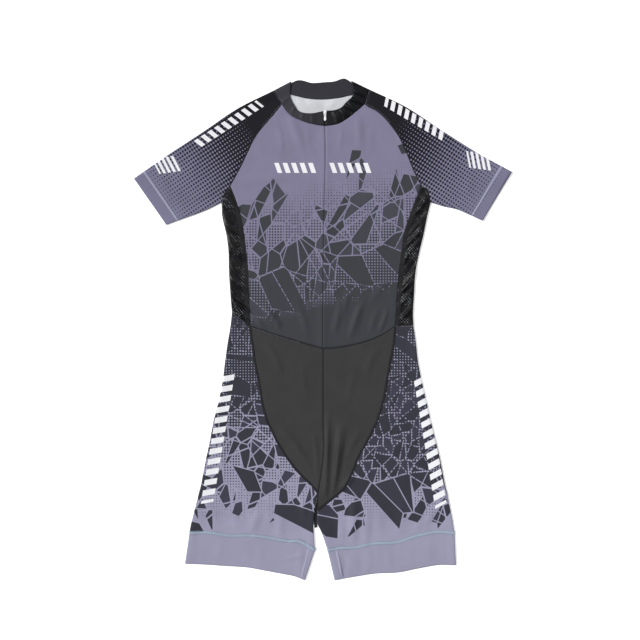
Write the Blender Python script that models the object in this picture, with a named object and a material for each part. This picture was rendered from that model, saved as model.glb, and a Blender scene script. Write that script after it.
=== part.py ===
"""A short-sleeved speed skating suit, zipped up and laid flat on its back, front side up.

Metres, +Z up. The suit rests on z = 0 with its collar towards +Y, and x = 0, y = 0 is the middle of its outline.
Left and right are the wearer's, so the right sleeve and leg lie at -X. Sizes in the tables are millimetres.

The back pieces lie on the floor and the front pieces lie on them. Side pieces, sleeves and leg bands turn round the
folded edges of the suit from the front to the back. Every piece is a wall of cloth of its own, with a small gap at
each seam. A pull tab hangs on the slider of the front zip and swings about its cross bar.
"""

import math
from typing import NamedTuple

import bmesh
import bpy
import numpy as np

MM = 0.001

# Cloth, in mm
WALL = 1.2
COLLAR_WALL = 1.6
LAYER_GAP = 0.8
SEAM_GAP = 0.3
CENTRE_SEAM_GAP = 0.6
STACK = 2 * WALL + LAYER_GAP
ROLL_HEIGHT = 1.8
ROLL_WIDTH = 14.0
FOLD_RADIUS = (STACK + ROLL_HEIGHT) / 2
BACK_NECK_RISE = 24.0

# Front zip, in mm
ZIP_SLOT = 1.6
ZIP_RIDGE = 1.1
ZIP_RIDGE_WIDTH = 18.0
TAPE_WIDTH = 10.0
TAPE_BOTTOM = 1.5
TAPE_TOP = 2.4
COIL_WIDTH = 1.0
COIL_TOP = 3.4
ZIP_END_GAP = 4.0
ZIP_STEPS = 16

# Slider and pull tab, in mm
SLIDER_LENGTH = 9.0
SLIDER_WIDTH = 5.6
SLIDER_CORNER = 1.8
SLIDER_PLATE = 1.0
SLIDER_AHEAD = 1.0
SLIDER_Y = 433.0
BRIDGE_LENGTH = 5.2
BRIDGE_WIDTH = 2.4
BRIDGE_HOLE_LENGTH = 3.6
BRIDGE_HOLE_HEIGHT = 2.1
BRIDGE_WALL = 0.8
BRIDGE_SLOPE = 1.2
KEEL_WIDTH = 0.9
KEEL_LENGTH = 7.0
KEEL_DEPTH = 1.6
PULL_THICKNESS = 1.1
PULL_TILT = math.radians(3.5)
PULL_EYE_WIDTH = 3.2
PULL_EYE_TOP = -0.5
PULL_EYE_BOTTOM = -3.9

# How finely the cloth is divided: steps along each line
RAGLAN_STEPS = 6
NECK_STEPS = 4
ACROSS_FRONT = RAGLAN_STEPS + NECK_STEPS
BACK_NECK_STEPS = 2 * NECK_STEPS + 1
TORSO_STEPS = 16
HIP_STEPS = 9
INSEAM_STEPS = 4
SLEEVE_STEPS = 8
BAND_STEPS = 2
SIDE_STEPS = 4
LEG_FRONT_STEPS = 7
LEG_BACK_STEPS = 4
COLLAR_SPLIT = 3
COLLAR_STEPS = 3
FOLD_ANGLES = np.radians([0, 45, 90, 135, 180])
LIP_ANGLES = np.radians([0, 45, 90])
# A row that meets a seam at a slant is followed no further than this share of a square meeting
LEAST_LEAD = 0.35


class Level(NamedTuple):
    """One level of the body: where its folded edges and side seams cross it. Below the crotch the seams are inseams."""

    y: float
    right_fold: float
    right_seam: float
    left_seam: float
    left_fold: float


BODY = [
    Level(288, -204, -186, 197, 217),
    Level(255, -203, -173, 184, 215),
    Level(225, -201, -164, 173, 208),
    Level(190, -193, -158, 162, 201),
    Level(157, -189, -154, 158, 193),
    Level(115, -188, -150, 152, 185),
    Level(69, -185, -148, 148, 182),
    Level(34, -182, -147, 146, 180),
    Level(8, -185, -146, 144, 181),
    Level(-28, -191, -141, 141, 186),
    Level(-64, -196, -136, 134, 190),
    Level(-104, -201, -128, 127, 198),
    Level(-147, -210, -121, 119, 208),
    Level(-183, -219, -111, 107, 216),
    Level(-220, -226, -93, 89, 225),
    Level(-253, -233, -73, 71, 233),
    Level(-283, -239, -50, 59, 239),
    Level(-310, -244, -23, 46, 244),
    Level(-325, -248, -10, 33, 248),
    Level(-345, -253, -14, 9, 252),
    Level(-360, -257, -16, -10, 255),
    Level(-380, -262, -18, -13, 259),
    Level(-393, -265, -19, -9, 261),
    Level(-405, -267, -18, -3, 263),
    Level(-440, -272, -16, 9, 265),
]
ARMPIT_Y = 288
UNDERARM_Y = 255
WAIST_Y = 8
HIP_Y = -183
BAND_FOLD_Y = -405
BAND_SEAM_Y = -440


class RaglanPoint(NamedTuple):
    """A height on the front raglan seams, from armpit to neck."""

    y: float
    right: float
    left: float


RAGLAN = [
    RaglanPoint(288, -186, 197),
    RaglanPoint(320, -168, 181),
    RaglanPoint(355, -151, 167),
    RaglanPoint(390, -133, 150),
    RaglanPoint(430, -100, 118),
    RaglanPoint(452, -82, 83),
]


class Band(NamedTuple):
    """One section across a band: where it is sewn on, and its other edge."""

    seam_x: float
    seam_y: float
    edge_x: float
    edge_y: float


# From the zip out to the fold at the shoulder
COLLAR_FRONT_RIGHT = [
    Band(4, 408, 4, 438),
    Band(-28, 414, -24, 434),
    Band(-56, 425, -46, 438),
    Band(-70, 435, -56, 450),
    Band(-82, 452, -65, 470),
    Band(-98, 479, -64, 497),
]
COLLAR_FRONT_LEFT = [
    Band(4, 408, 4, 438),
    Band(28, 412, 22, 440),
    Band(42, 419, 36, 446),
    Band(56, 429, 45, 456),
    Band(83, 452, 59, 472),
    Band(92, 481, 57, 498),
]
# From the right shoulder round the back of the neck to the left shoulder
COLLAR_BACK = [
    Band(-98, 479, -64, 497),
    Band(-82, 476, -56, 498),
    Band(-66, 471, -46, 497),
    Band(-45, 466, -35, 494),
    Band(-28, 463, -24, 492),
    Band(0, 462, 0, 493),
    Band(32, 465, 22, 494),
    Band(50, 469, 33, 496),
    Band(66, 472, 42, 499),
    Band(83, 476, 50, 500),
    Band(92, 481, 57, 498),
]
# From the inseam out to the folded edge
BAND_RIGHT = [
    Band(-16, -440, -36, -500),
    Band(-45, -424, -55, -493),
    Band(-75, -422, -75, -489),
    Band(-112, -415, -113, -482),
    Band(-150, -411, -152, -475),
    Band(-189, -411, -195, -472),
    Band(-228, -405, -236, -469),
    Band(-267, -405, -276, -467),
]
BAND_LEFT = [
    Band(9, -440, 23, -500),
    Band(35, -436, 45, -496),
    Band(66, -434, 76, -491),
    Band(100, -427, 104, -487),
    Band(148, -424, 148, -485),
    Band(186, -412, 190, -477),
    Band(225, -404, 230, -470),
    Band(263, -405, 266, -470),
]


class SleeveSection(NamedTuple):
    """One section across a sleeve: the fold on top of the shoulder, and the fold under the arm."""

    top_x: float
    top_y: float
    under_x: float
    under_y: float


SLEEVE_RIGHT = [
    SleeveSection(-98, 479, -203, 255),
    SleeveSection(-170, 443, -230, 241),
    SleeveSection(-240, 396, -258, 230),
    SleeveSection(-310, 350, -286, 220),
    SleeveSection(-378, 303, -313, 210),
]
SLEEVE_LEFT = [
    SleeveSection(92, 481, 215, 255),
    SleeveSection(165, 446, 240, 247),
    SleeveSection(240, 397, 267, 241),
    SleeveSection(310, 353, 293, 230),
    SleeveSection(378, 316, 319, 218),
]
ARMPIT_CORNER = {"right": (-198, 271), "left": (211, 279)}
WAIST_FOLD_Y = {"right": 34, "left": 8}
CROTCH_Y = {"right": -325, "left": -360}
SEAT_TIP = (-16, -390)

WAIST_RIGHT = [(-146, 8), (-98, -8), (-39, -26), (0, -37)]
WAIST_LEFT = [(144, 8), (114, -12), (76, -26), (32, -35), (0, -37)]
ZIP_LINE = [(0, -37), (0, 43), (2, 209), (5, 343), (4, 408)]
ZIP_TOP = (4, 438)
CENTRE_SEAM_RIGHT = [(0, -37), (0, -181), (1, -237), (-3, -281), (-10, -325)]
CENTRE_SEAM_LEFT = [(0, -37), (0, -181), (1, -237), (-3, -281), (-10, -325), (-10, -360)]


class Ridge(NamedTuple):
    """A soft fold that stands up from the front layer, between two points."""

    x0: float
    y0: float
    x1: float
    y1: float
    height: float
    half_width: float


RIDGES = [
    # The plain front of the shorts, left of the centre seam, down to the crotch
    Ridge(10, -165, 4, -335, 3.5, 11),
    Ridge(40, -185, 18, -325, 4.5, 17),
    Ridge(60, -290, 34, -322, 2.5, 11),
    # Left leg above its band
    Ridge(62, -335, 60, -432, 3.5, 12),
    Ridge(88, -350, 84, -440, 2.6, 12),
    Ridge(230, -345, 200, -395, 2.2, 12),
    # Right leg above its band
    Ridge(-128, -360, -146, -408, 2.6, 14),
    Ridge(-84, -366, -88, -420, 2.2, 12),
    Ridge(-236, -330, -210, -392, 2.0, 12),
    # Front of the belly
    Ridge(48, 75, 22, -8, 3.0, 15),
    Ridge(76, 50, 58, -14, 2.2, 13),
    Ridge(-118, 52, -86, 2, 2.8, 14),
    # Chest, below the collar and across
    Ridge(-68, 432, -36, 352, 2.4, 15),
    Ridge(70, 428, 74, 362, 2.0, 13),
    Ridge(-160, 300, -50, 306, 1.8, 15),
    # Collar, gathered left of the zip
    Ridge(26, 440, 36, 416, 2.6, 7),
    Ridge(38, 446, 52, 426, 3.0, 7),
    Ridge(47, 459, 66, 441, 2.4, 7),
    # Mesh side pieces
    Ridge(-206, 240, -160, 202, 2.6, 12),
    Ridge(-196, 196, -156, 140, 2.0, 12),
    Ridge(-190, 66, -146, 40, 3.0, 11),
    Ridge(206, 236, 166, 184, 2.0, 12),
    Ridge(188, 128, 152, 66, 1.8, 12),
    # Sleeves beside the armpits
    Ridge(214, 292, 268, 266, 2.4, 13),
    Ridge(-212, 282, -262, 262, 2.0, 13),
]


def clear_scene():
    for obj in list(bpy.data.objects):
        bpy.data.objects.remove(obj, do_unlink=True)


def make_material(name, colour, roughness, metallic=0.0):
    material = bpy.data.materials.new(name)
    material.use_nodes = True
    shader = material.node_tree.nodes["Principled BSDF"]
    shader.inputs["Base Color"].default_value = (*colour, 1.0)
    shader.inputs["Roughness"].default_value = roughness
    shader.inputs["Metallic"].default_value = metallic
    return material


def smooth_line(points, steps_each=16):
    """A close row of points on a Catmull-Rom curve through the given ones."""
    points = np.asarray(points, float)
    ends = np.vstack([2 * points[0] - points[1], points, 2 * points[-1] - points[-2]])
    t = np.linspace(0, 1, steps_each, endpoint=False)[:, None]
    spans = [
        0.5
        * (
            2 * b
            + (c - a) * t
            + (2 * a - 5 * b + 4 * c - d) * t**2
            + (3 * b - a - 3 * c + d) * t**3
        )
        for a, b, c, d in zip(ends, ends[1:], ends[2:], ends[3:])
    ]
    return np.vstack([*spans, points[-1:]])


def spaced(line, steps):
    """steps + 1 points, evenly spaced along a line of points."""
    line = np.asarray(line, float)
    gone = np.concatenate([[0], np.cumsum(np.linalg.norm(np.diff(line, axis=0), axis=1))])
    at = np.linspace(0, gone[-1], steps + 1)
    return np.column_stack([np.interp(at, gone, line[:, k]) for k in range(2)])


def run(points, steps):
    return spaced(smooth_line(points), steps)


def joined(*lines):
    """One line from several that follow on from each other."""
    return np.vstack([lines[0], *[line[1:] for line in lines[1:]]])


def split(line, times):
    """The same line with each of its straight steps cut into several."""
    steps = [spaced(pair, times)[:-1] for pair in zip(line, line[1:])]
    return np.vstack([*steps, line[-1:]])


def body_line(column, first_y, last_y):
    """The points of one column of BODY between two heights, from the first to the last."""
    low, high = sorted((first_y, last_y))
    points = [(getattr(level, column), level.y) for level in BODY if low <= level.y <= high]
    return points if first_y > last_y else points[::-1]


def patch(near, far, start, end):
    """A grid of points between four lines. near and far run across it, and start and end run from near to far."""
    u = np.linspace(0, 1, len(near))[None, :, None]
    v = np.linspace(0, 1, len(start))[:, None, None]
    across = (1 - v) * near[None] + v * far[None]
    along = (1 - u) * start[:, None] + u * end[:, None]
    corners = (1 - v) * ((1 - u) * near[0] + u * near[-1]) + v * ((1 - u) * far[0] + u * far[-1])
    return across + along - corners


def inward(line, inside):
    """Unit normals of a line in the plane, on the side where the points of inside are."""
    tangent = np.gradient(line, axis=0)
    normal = np.column_stack([-tangent[:, 1], tangent[:, 0]])
    normal /= np.linalg.norm(normal, axis=1)[:, None]
    towards = np.einsum("ij,ij->i", normal, inside - line)
    return normal * np.where(towards < 0, -1.0, 1.0)[:, None]


def leading(line, inside):
    """For each point of a line, the step along its row, towards inside, that goes 1 mm in from the line."""
    way = (inside - line) / np.linalg.norm(inside - line, axis=1)[:, None]
    lead = np.einsum("ij,ij->i", way, inward(line, inside))
    return way / np.maximum(lead, LEAST_LEAD)[:, None]


def pull_back(grid, near=0.0, far=0.0, start=0.0, end=0.0):
    """The grid with its sides moved inwards by these distances, which makes the gaps at its seams. start and end may
    hold a distance for each row."""
    moved = grid.copy()
    moved[0] += near * leading(grid[0], grid[1])
    moved[-1] += far * leading(grid[-1], grid[-2])
    moved[:, 0] += np.reshape(start, (-1, 1)) * leading(grid[:, 0], grid[:, 1])
    moved[:, -1] += np.reshape(end, (-1, 1)) * leading(grid[:, -1], grid[:, -2])
    return moved


def distance_to(xy, line):
    """Distance from each point to a line of points."""
    nearest = np.full(xy.shape[:-1], np.inf)
    for a, b in zip(line, line[1:]):
        along = b - a
        share = np.clip(((xy - a) @ along) / (along @ along), 0, 1)
        nearest = np.minimum(nearest, np.linalg.norm(xy - a - share[..., None] * along, axis=-1))
    return nearest


def folded_edges():
    """Every line where the cloth turns from the front to the back."""
    lines = []
    for side, sleeve, band, collar in (
        ("right", SLEEVE_RIGHT, BAND_RIGHT, COLLAR_FRONT_RIGHT),
        ("left", SLEEVE_LEFT, BAND_LEFT, COLLAR_FRONT_LEFT),
    ):
        hem_in, hem_out = band[0][2:], band[-1][2:]
        lines.append([section[:2] for section in sleeve])
        lines.append([section[2:] for section in sleeve])
        lines.append([*body_line(side + "_fold", UNDERARM_Y, BAND_FOLD_Y), hem_out])
        lines.append([*body_line(side + "_seam", CROTCH_Y[side], BAND_SEAM_Y), hem_in])
        lines.append([collar[-1][:2], collar[-1][2:]])
    return [spaced(smooth_line(line), 4 * len(line)) for line in lines]


FOLDED_EDGES = folded_edges()


def hump(distance, half_width):
    """1 on a line, falling softly to 0 at half_width from it."""
    return np.cos(np.clip(distance / half_width, 0, 1) * math.pi / 2) ** 2


def rise(xy):
    """Height over the floor of the front layer's outer face, at points in the plane."""
    edge = np.min([distance_to(xy, line) for line in FOLDED_EDGES], axis=0)
    height = STACK + ROLL_HEIGHT * np.exp(-((np.maximum(edge - FOLD_RADIUS, 0) / ROLL_WIDTH) ** 2))
    beside_zip = distance_to(xy, np.array([*ZIP_LINE, ZIP_TOP], float))
    height = height + ZIP_RIDGE * hump(beside_zip, ZIP_RIDGE_WIDTH)
    for ridge in RIDGES:
        start, end = np.array(ridge[:2], float), np.array(ridge[2:4], float)
        axis = end - start
        share = ((xy - start) @ axis) / (axis @ axis)
        fade = np.sin(np.clip(share, 0, 1) * math.pi) ** 0.7
        across = np.linalg.norm(xy - start - share[..., None] * axis, axis=-1)
        height = height + ridge.height * fade * hump(across, ridge.half_width)
    return height


def lifted(xy, z):
    """Points in space from points in the plane and their heights."""
    return np.concatenate([xy, np.broadcast_to(z, xy.shape[:-1])[..., None]], axis=-1)


def front_layer(grid, wall=WALL):
    """Outer and inner faces of a front piece that lies flat."""
    top = rise(grid) + wall - WALL
    return lifted(grid, top), lifted(grid, top - wall)


def back_layer(grid, wall=WALL):
    """Outer and inner faces of a back piece, which lies on the floor."""
    return lifted(grid, 0.0), lifted(grid, wall)


def fold_radius(edge, wall):
    """Outer radius of the cloth where it turns round a folded edge."""
    return (rise(edge) + wall - WALL) / 2


def fold_arc(edge, inside_front, inside_back, wall):
    """Outer and inner faces round a folded edge, from the front layer down to the back layer. Steps x rows x 3."""
    radius = fold_radius(edge, wall)
    front_way, back_way = leading(edge, inside_front), leading(edge, inside_back)
    faces = []
    for r in (radius, radius - wall):
        steps = []
        for angle in FOLD_ANGLES:
            share = (1 - math.cos(angle)) / 2
            depth = (radius - r * math.sin(angle))[:, None]
            way = (1 - share) * front_way + share * back_way
            steps.append(lifted(edge + depth * way, radius + r * math.cos(angle)))
        faces.append(np.array(steps))
    return faces


def lip_arc(edge, inside, turn, on_front):
    """Outer and inner faces of an inseam edge, from the flat cloth to the edge. turn is 0 for a flat edge, and 1
    where front and back bend to meet each other halfway up. Steps x rows x 3."""
    top = rise(edge)
    radius = top / 2 - SEAM_GAP / 2
    bend = np.maximum(turn, 1e-3)
    way = leading(edge, inside)
    outer, inner = [], []
    for angle in LIP_ANGLES:
        depth = radius * (np.sin(bend * math.pi / 2) - np.sin(bend * angle)) / bend
        drop = radius * (1 - np.cos(bend * angle)) / bend
        lean, level = WALL * np.sin(bend * angle), WALL * np.cos(bend * angle)
        outer.append(lifted(edge + depth[:, None] * way, top - drop if on_front else drop))
        inside_z = top - drop - level if on_front else drop + level
        inner.append(lifted(edge + (depth + lean)[:, None] * way, inside_z))
    return np.array(outer), np.array(inner)


def by_steps(grid):
    """A rows x columns grid turned to columns x rows, as the arcs are."""
    return grid.swapaxes(0, 1)


def wrapped(front, back, wall=WALL, turn=None):
    """Faces of a piece that turns round the folded edge at the end of each row, from its front edge to its back one.
    With turn, the edges at the start of the rows are inseam lips."""
    arc = fold_arc(front[:, -1], front[:, -2], back[:, -2], wall)
    faces = []
    for k in (0, 1):
        front_run = by_steps(front_layer(front, wall)[k])[:-1]
        back_run = by_steps(back_layer(back, wall)[k])[:-1][::-1]
        if turn is not None:
            front_lip = lip_arc(front[:, 0], front[:, 1], turn, True)[k][::-1]
            back_lip = lip_arc(back[:, 0], back[:, 1], turn, False)[k]
            front_run = np.concatenate([front_lip, front_run[1:]])
            back_run = np.concatenate([back_run[:-1], back_lip])
        faces.append(by_steps(np.concatenate([front_run, arc[k], back_run])))
    return faces


def tube(front, back):
    """Faces of a flattened tube with a folded edge at both ends of each row."""
    first = fold_arc(front[:, 0], front[:, 1], back[:, 1], WALL)
    last = fold_arc(front[:, -1], front[:, -2], back[:, -2], WALL)
    faces = []
    for k in (0, 1):
        front_run = by_steps(front_layer(front)[k])[1:-1]
        back_run = by_steps(back_layer(back)[k])[1:-1]
        faces.append(by_steps(np.concatenate([front_run, last[k], back_run[::-1], first[k][::-1]])))
    return faces


def add_mesh(name, mesh, material, collection):
    obj = bpy.data.objects.new(name, mesh)
    obj.data.materials.append(material)
    collection.objects.link(obj)
    return obj


def add_cloth(name, faces, material, collection, closed=False):
    """A wall of cloth between an outer and an inner face, each a rows x columns grid of points in mm."""
    shape = bmesh.new()
    outer, inner = [
        [[shape.verts.new(point * MM) for point in row] for row in face] for face in faces
    ]
    rows, columns = len(outer), len(outer[0])
    around = range(columns if closed else columns - 1)
    for i in range(rows - 1):
        for j in around:
            k = (j + 1) % columns
            shape.faces.new((outer[i][j], outer[i][k], outer[i + 1][k], outer[i + 1][j]))
            shape.faces.new((inner[i][j], inner[i + 1][j], inner[i + 1][k], inner[i][k]))
    for i in (0, rows - 1):
        for j in around:
            k = (j + 1) % columns
            shape.faces.new((outer[i][j], inner[i][j], inner[i][k], outer[i][k]))
    if not closed:
        for j in (0, columns - 1):
            for i in range(rows - 1):
                shape.faces.new((outer[i][j], outer[i + 1][j], inner[i + 1][j], inner[i][j]))
    bmesh.ops.recalc_face_normals(shape, faces=shape.faces)
    mesh = bpy.data.meshes.new(name)
    shape.to_mesh(mesh)
    shape.free()
    mesh.shade_smooth()
    mesh.set_sharp_from_angle(angle=math.radians(50))
    return add_mesh(name, mesh, material, collection)


def side_lines(side):
    """The cutting lines of one half of the suit, as points in the plane."""
    right = side == "right"
    sleeve = SLEEVE_RIGHT if right else SLEEVE_LEFT
    band = BAND_RIGHT if right else BAND_LEFT
    collar = COLLAR_FRONT_RIGHT if right else COLLAR_FRONT_LEFT
    seam, fold = side + "_seam", side + "_fold"
    raglan = run([(getattr(p, side), p.y) for p in RAGLAN], RAGLAN_STEPS)
    raised = np.linspace(0, 1, len(raglan)) ** 2 * BACK_NECK_RISE
    shoulder = run([s[:2] for s in sleeve], SLEEVE_STEPS)
    under = run([s[2:] for s in sleeve], SLEEVE_STEPS)
    neckline = run([section[:2] for section in collar[:-1]][::-1], NECK_STEPS)
    crotch = CROTCH_Y[side]
    return {
        "raglan": raglan,
        "raglan_back": raglan + np.column_stack([np.zeros(len(raglan)), raised]),
        "neckline": neckline,
        "shoulder": shoulder,
        "under": under,
        "cuff": np.array([shoulder[-1], under[-1]]),
        "armpit": np.array([raglan[0], ARMPIT_CORNER[side], under[0]], float),
        "side_seam": run(body_line(seam, WAIST_Y, ARMPIT_Y), TORSO_STEPS),
        "side_fold": run(body_line(fold, WAIST_FOLD_Y[side], UNDERARM_Y), TORSO_STEPS),
        "waist": run(WAIST_RIGHT if right else WAIST_LEFT, ACROSS_FRONT),
        "centre_seam": run(CENTRE_SEAM_RIGHT if right else CENTRE_SEAM_LEFT, HIP_STEPS),
        "hip_seam": run(body_line(seam, WAIST_Y, HIP_Y), HIP_STEPS),
        "thigh_seam": run(body_line(seam, HIP_Y, crotch), ACROSS_FRONT),
        "inseam": run(body_line(seam, crotch, BAND_SEAM_Y), INSEAM_STEPS),
        "leg_fold": run(
            body_line(fold, WAIST_FOLD_Y[side], BAND_FOLD_Y), HIP_STEPS + ACROSS_FRONT + INSEAM_STEPS
        ),
        "band_seam": [section[:2] for section in band],
        "hem": [section[2:] for section in band],
        "collar_edge": smooth_line([section[2:] for section in collar]),
    }


def front_panel(lines, zip_line):
    """Half of the upper front, from the waist to the neck and raglan seam, and from the side seam to the zip."""
    top = joined(lines["raglan"], lines["neckline"])
    grid = patch(lines["waist"], top, lines["side_seam"], zip_line)
    gap = SEAM_GAP / 2
    return front_layer(pull_back(grid, gap, gap, gap, ZIP_SLOT / 2))


def back_panel(right, left, neck):
    """The upper back, in one piece from side seam to side seam."""
    top = joined(right["raglan_back"], neck, left["raglan_back"][::-1])
    waist = back_waist(right, left, len(top) - 1)
    grid = patch(waist, top, right["side_seam"], left["side_seam"])
    gap = SEAM_GAP / 2
    return back_layer(pull_back(grid, gap, gap, gap, gap))


def back_waist(right, left, steps):
    return spaced(joined(right["waist"], left["waist"][::-1]), steps)


def side_panel(lines):
    """The mesh strip under the arm, round the folded edge from the front seam to the back seam."""
    top = split(lines["armpit"], SIDE_STEPS // 2)
    bottom = spaced([lines["side_seam"][0], lines["side_fold"][0]], SIDE_STEPS)
    grid = patch(bottom, top, lines["side_seam"], lines["side_fold"])
    gap = SEAM_GAP / 2
    grid = pull_back(grid, gap, gap, gap)
    return wrapped(grid, grid)


def sleeve(lines):
    """A raglan sleeve, a flattened tube from the neck and raglan seams to the cuff."""
    layers = []
    for raglan in (lines["raglan"], lines["raglan_back"]):
        inner_end = joined(np.array([lines["shoulder"][0], raglan[-1]]), raglan[::-1], lines["armpit"])
        cuff = spaced(lines["cuff"], len(inner_end) - 1)
        grid = patch(inner_end, cuff, lines["shoulder"], lines["under"])
        layers.append(pull_back(grid, near=SEAM_GAP / 2))
    return tube(*layers)


def short_front(lines):
    """Half of the plain front of the shorts, from the waist to the crotch."""
    grid = patch(lines["waist"], lines["thigh_seam"], lines["hip_seam"], lines["centre_seam"])
    gap = SEAM_GAP / 2
    return front_layer(pull_back(grid, gap, gap, gap, CENTRE_SEAM_GAP / 2))


def seat(right, left):
    """The seat of the shorts, in one piece. Below the crotch it ends in a tip that shows between the legs."""
    crotch = np.array([right["thigh_seam"][-1], SEAT_TIP, left["thigh_seam"][-1]])
    bottom = joined(right["thigh_seam"], crotch, left["thigh_seam"][::-1])
    waist = back_waist(right, left, len(bottom) - 1)
    grid = patch(waist, bottom, right["hip_seam"], left["hip_seam"])
    gap = SEAM_GAP / 2
    return back_layer(pull_back(grid, gap, gap, gap, gap))


def short_side(lines):
    """The printed side of the shorts, which is the whole leg below the crotch, open along the inseam."""
    seam = joined(lines["hip_seam"], lines["thigh_seam"], lines["inseam"])
    waist = np.array([lines["hip_seam"][0], lines["leg_fold"][0]])
    gap = SEAM_GAP / 2
    layers = []
    for steps in (LEG_FRONT_STEPS, LEG_BACK_STEPS):
        grid = patch(spaced(waist, steps), run(lines["band_seam"], steps), seam, lines["leg_fold"])
        layers.append(pull_back(grid, gap, gap, gap))
    below_crotch = np.arange(len(seam)) - (HIP_STEPS + ACROSS_FRONT)
    turn = np.clip(below_crotch / 2, 0, 1)
    return wrapped(*layers, turn=turn)


def leg_band(lines):
    """The wide elastic band round the end of a leg."""
    layers = []
    for steps in (LEG_FRONT_STEPS, LEG_BACK_STEPS):
        seam, hem = run(lines["band_seam"], steps), run(lines["hem"], steps)
        inner_fold = spaced([seam[0], hem[0]], BAND_STEPS)
        outer_fold = spaced([seam[-1], hem[-1]], BAND_STEPS)
        layers.append(pull_back(patch(seam, hem, inner_fold, outer_fold), near=SEAM_GAP / 2))
    return tube(*layers)


def collar_front(lines, inside_back):
    """Half of the front of the collar, from the zip round the fold at the shoulder. inside_back is the next line of
    the back of the collar in from that fold."""
    shoulder = lines["shoulder"][0]
    seam = split(joined(lines["neckline"][::-1], np.array([lines["neckline"][0], shoulder])), COLLAR_SPLIT)
    edge = spaced(lines["collar_edge"], len(seam) - 1)
    zip_edge = spaced([seam[0], edge[0]], COLLAR_STEPS)
    fold = spaced([seam[-1], edge[-1]], COLLAR_STEPS)
    grid = pull_back(patch(seam, edge, zip_edge, fold), near=SEAM_GAP / 2, start=ZIP_SLOT / 2)
    arc = fold_arc(grid[:, -1], grid[:, -2], inside_back, COLLAR_WALL)
    layer = front_layer(grid, COLLAR_WALL)
    return [by_steps(np.concatenate([by_steps(layer[k])[:-1], arc[k]])) for k in (0, 1)]


def collar_back_grid(right, left, neck):
    """The back of the collar out to the folds at both shoulders, as points in the plane."""
    seam = joined(np.array([right["shoulder"][0], neck[0]]), neck, np.array([neck[-1], left["shoulder"][0]]))
    edge = run([section[2:] for section in COLLAR_BACK], len(seam) - 1)
    ends = [spaced([seam[k], edge[k]], COLLAR_STEPS) for k in (0, -1)]
    return patch(seam, edge, *ends)


def collar_back(grid):
    """The back of the collar, which shows its inner side in the neck. It stops short of the folds of the front."""
    inset = [fold_radius(grid[:, k], COLLAR_WALL) + 2 * SEAM_GAP for k in (0, -1)]
    return back_layer(pull_back(grid, near=SEAM_GAP / 2, start=inset[0], end=inset[1]), COLLAR_WALL)


def back_neck(right, left):
    """The seam line between the upper back and the collar."""
    line = smooth_line([section[:2] for section in COLLAR_BACK[1:-1]])
    line[0], line[-1] = right["raglan_back"][-1], left["raglan_back"][-1]
    return spaced(line, BACK_NECK_STEPS)


def zip_chain():
    """The closed zip behind the front edges: a tape with the coil standing in the slot between them."""
    line = spaced(smooth_line([*ZIP_LINE, ZIP_TOP]), ZIP_STEPS)
    line[0, 1] += ZIP_END_GAP
    line[-1, 1] -= ZIP_END_GAP
    profile = [
        (-TAPE_WIDTH / 2, TAPE_TOP),
        (-COIL_WIDTH / 2, TAPE_TOP),
        (-COIL_WIDTH / 2, COIL_TOP),
        (COIL_WIDTH / 2, COIL_TOP),
        (COIL_WIDTH / 2, TAPE_TOP),
        (TAPE_WIDTH / 2, TAPE_TOP),
    ]
    outer = np.array([[(x + dx, y, z) for dx, z in profile] for x, y in line])
    inner = outer.copy()
    inner[..., 2] = TAPE_BOTTOM
    return outer, inner


def plate(name, outlines, thickness, collection):
    """A flat plate from closed outlines in mm, the second and later ones being holes. It becomes a mesh."""
    curve = bpy.data.curves.new(name, "CURVE")
    curve.dimensions = "2D"
    curve.fill_mode = "BOTH"
    curve.extrude = thickness * MM / 2
    for outline in outlines:
        spline = curve.splines.new("POLY")
        spline.points.add(len(outline) - 1)
        for point, (x, y) in zip(spline.points, outline):
            point.co = (x * MM, y * MM, 0, 1)
        spline.use_cyclic_u = True
    source = bpy.data.objects.new(name + "_outline", curve)
    collection.objects.link(source)
    bpy.context.view_layer.update()
    mesh = bpy.data.meshes.new_from_object(source.evaluated_get(bpy.context.evaluated_depsgraph_get()))
    bpy.data.objects.remove(source)
    shape = bmesh.new()
    shape.from_mesh(mesh)
    bmesh.ops.remove_doubles(shape, verts=shape.verts, dist=1e-6)
    bmesh.ops.recalc_face_normals(shape, faces=shape.faces)
    shape.to_mesh(mesh)
    shape.free()
    return mesh


def rounded_box(width, length, corner, steps=4):
    """A rectangle with round corners, centred, as an outline."""
    points = []
    for k, (sx, sy) in enumerate(((1, 1), (-1, 1), (-1, -1), (1, -1))):
        for s in range(steps + 1):
            angle = math.pi / 2 * (k + s / steps)
            x = sx * (width / 2 - corner) + corner * math.cos(angle)
            y = sy * (length / 2 - corner) + corner * math.sin(angle)
            points.append((x, y))
    return points


def pull_outline():
    """The outline of the pull tab, from its round top end down to its tip, symmetric about its length."""
    half = [(0.55, 1.9), (0.1, 2.5), (-4.0, 2.5), (-5.4, 1.6), (-8, 2.0), (-11, 2.4), (-13.6, 2.1), (-15.2, 1.0)]
    return [(w, y) for y, w in half] + [(-w, y) for y, w in reversed(half)]


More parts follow.
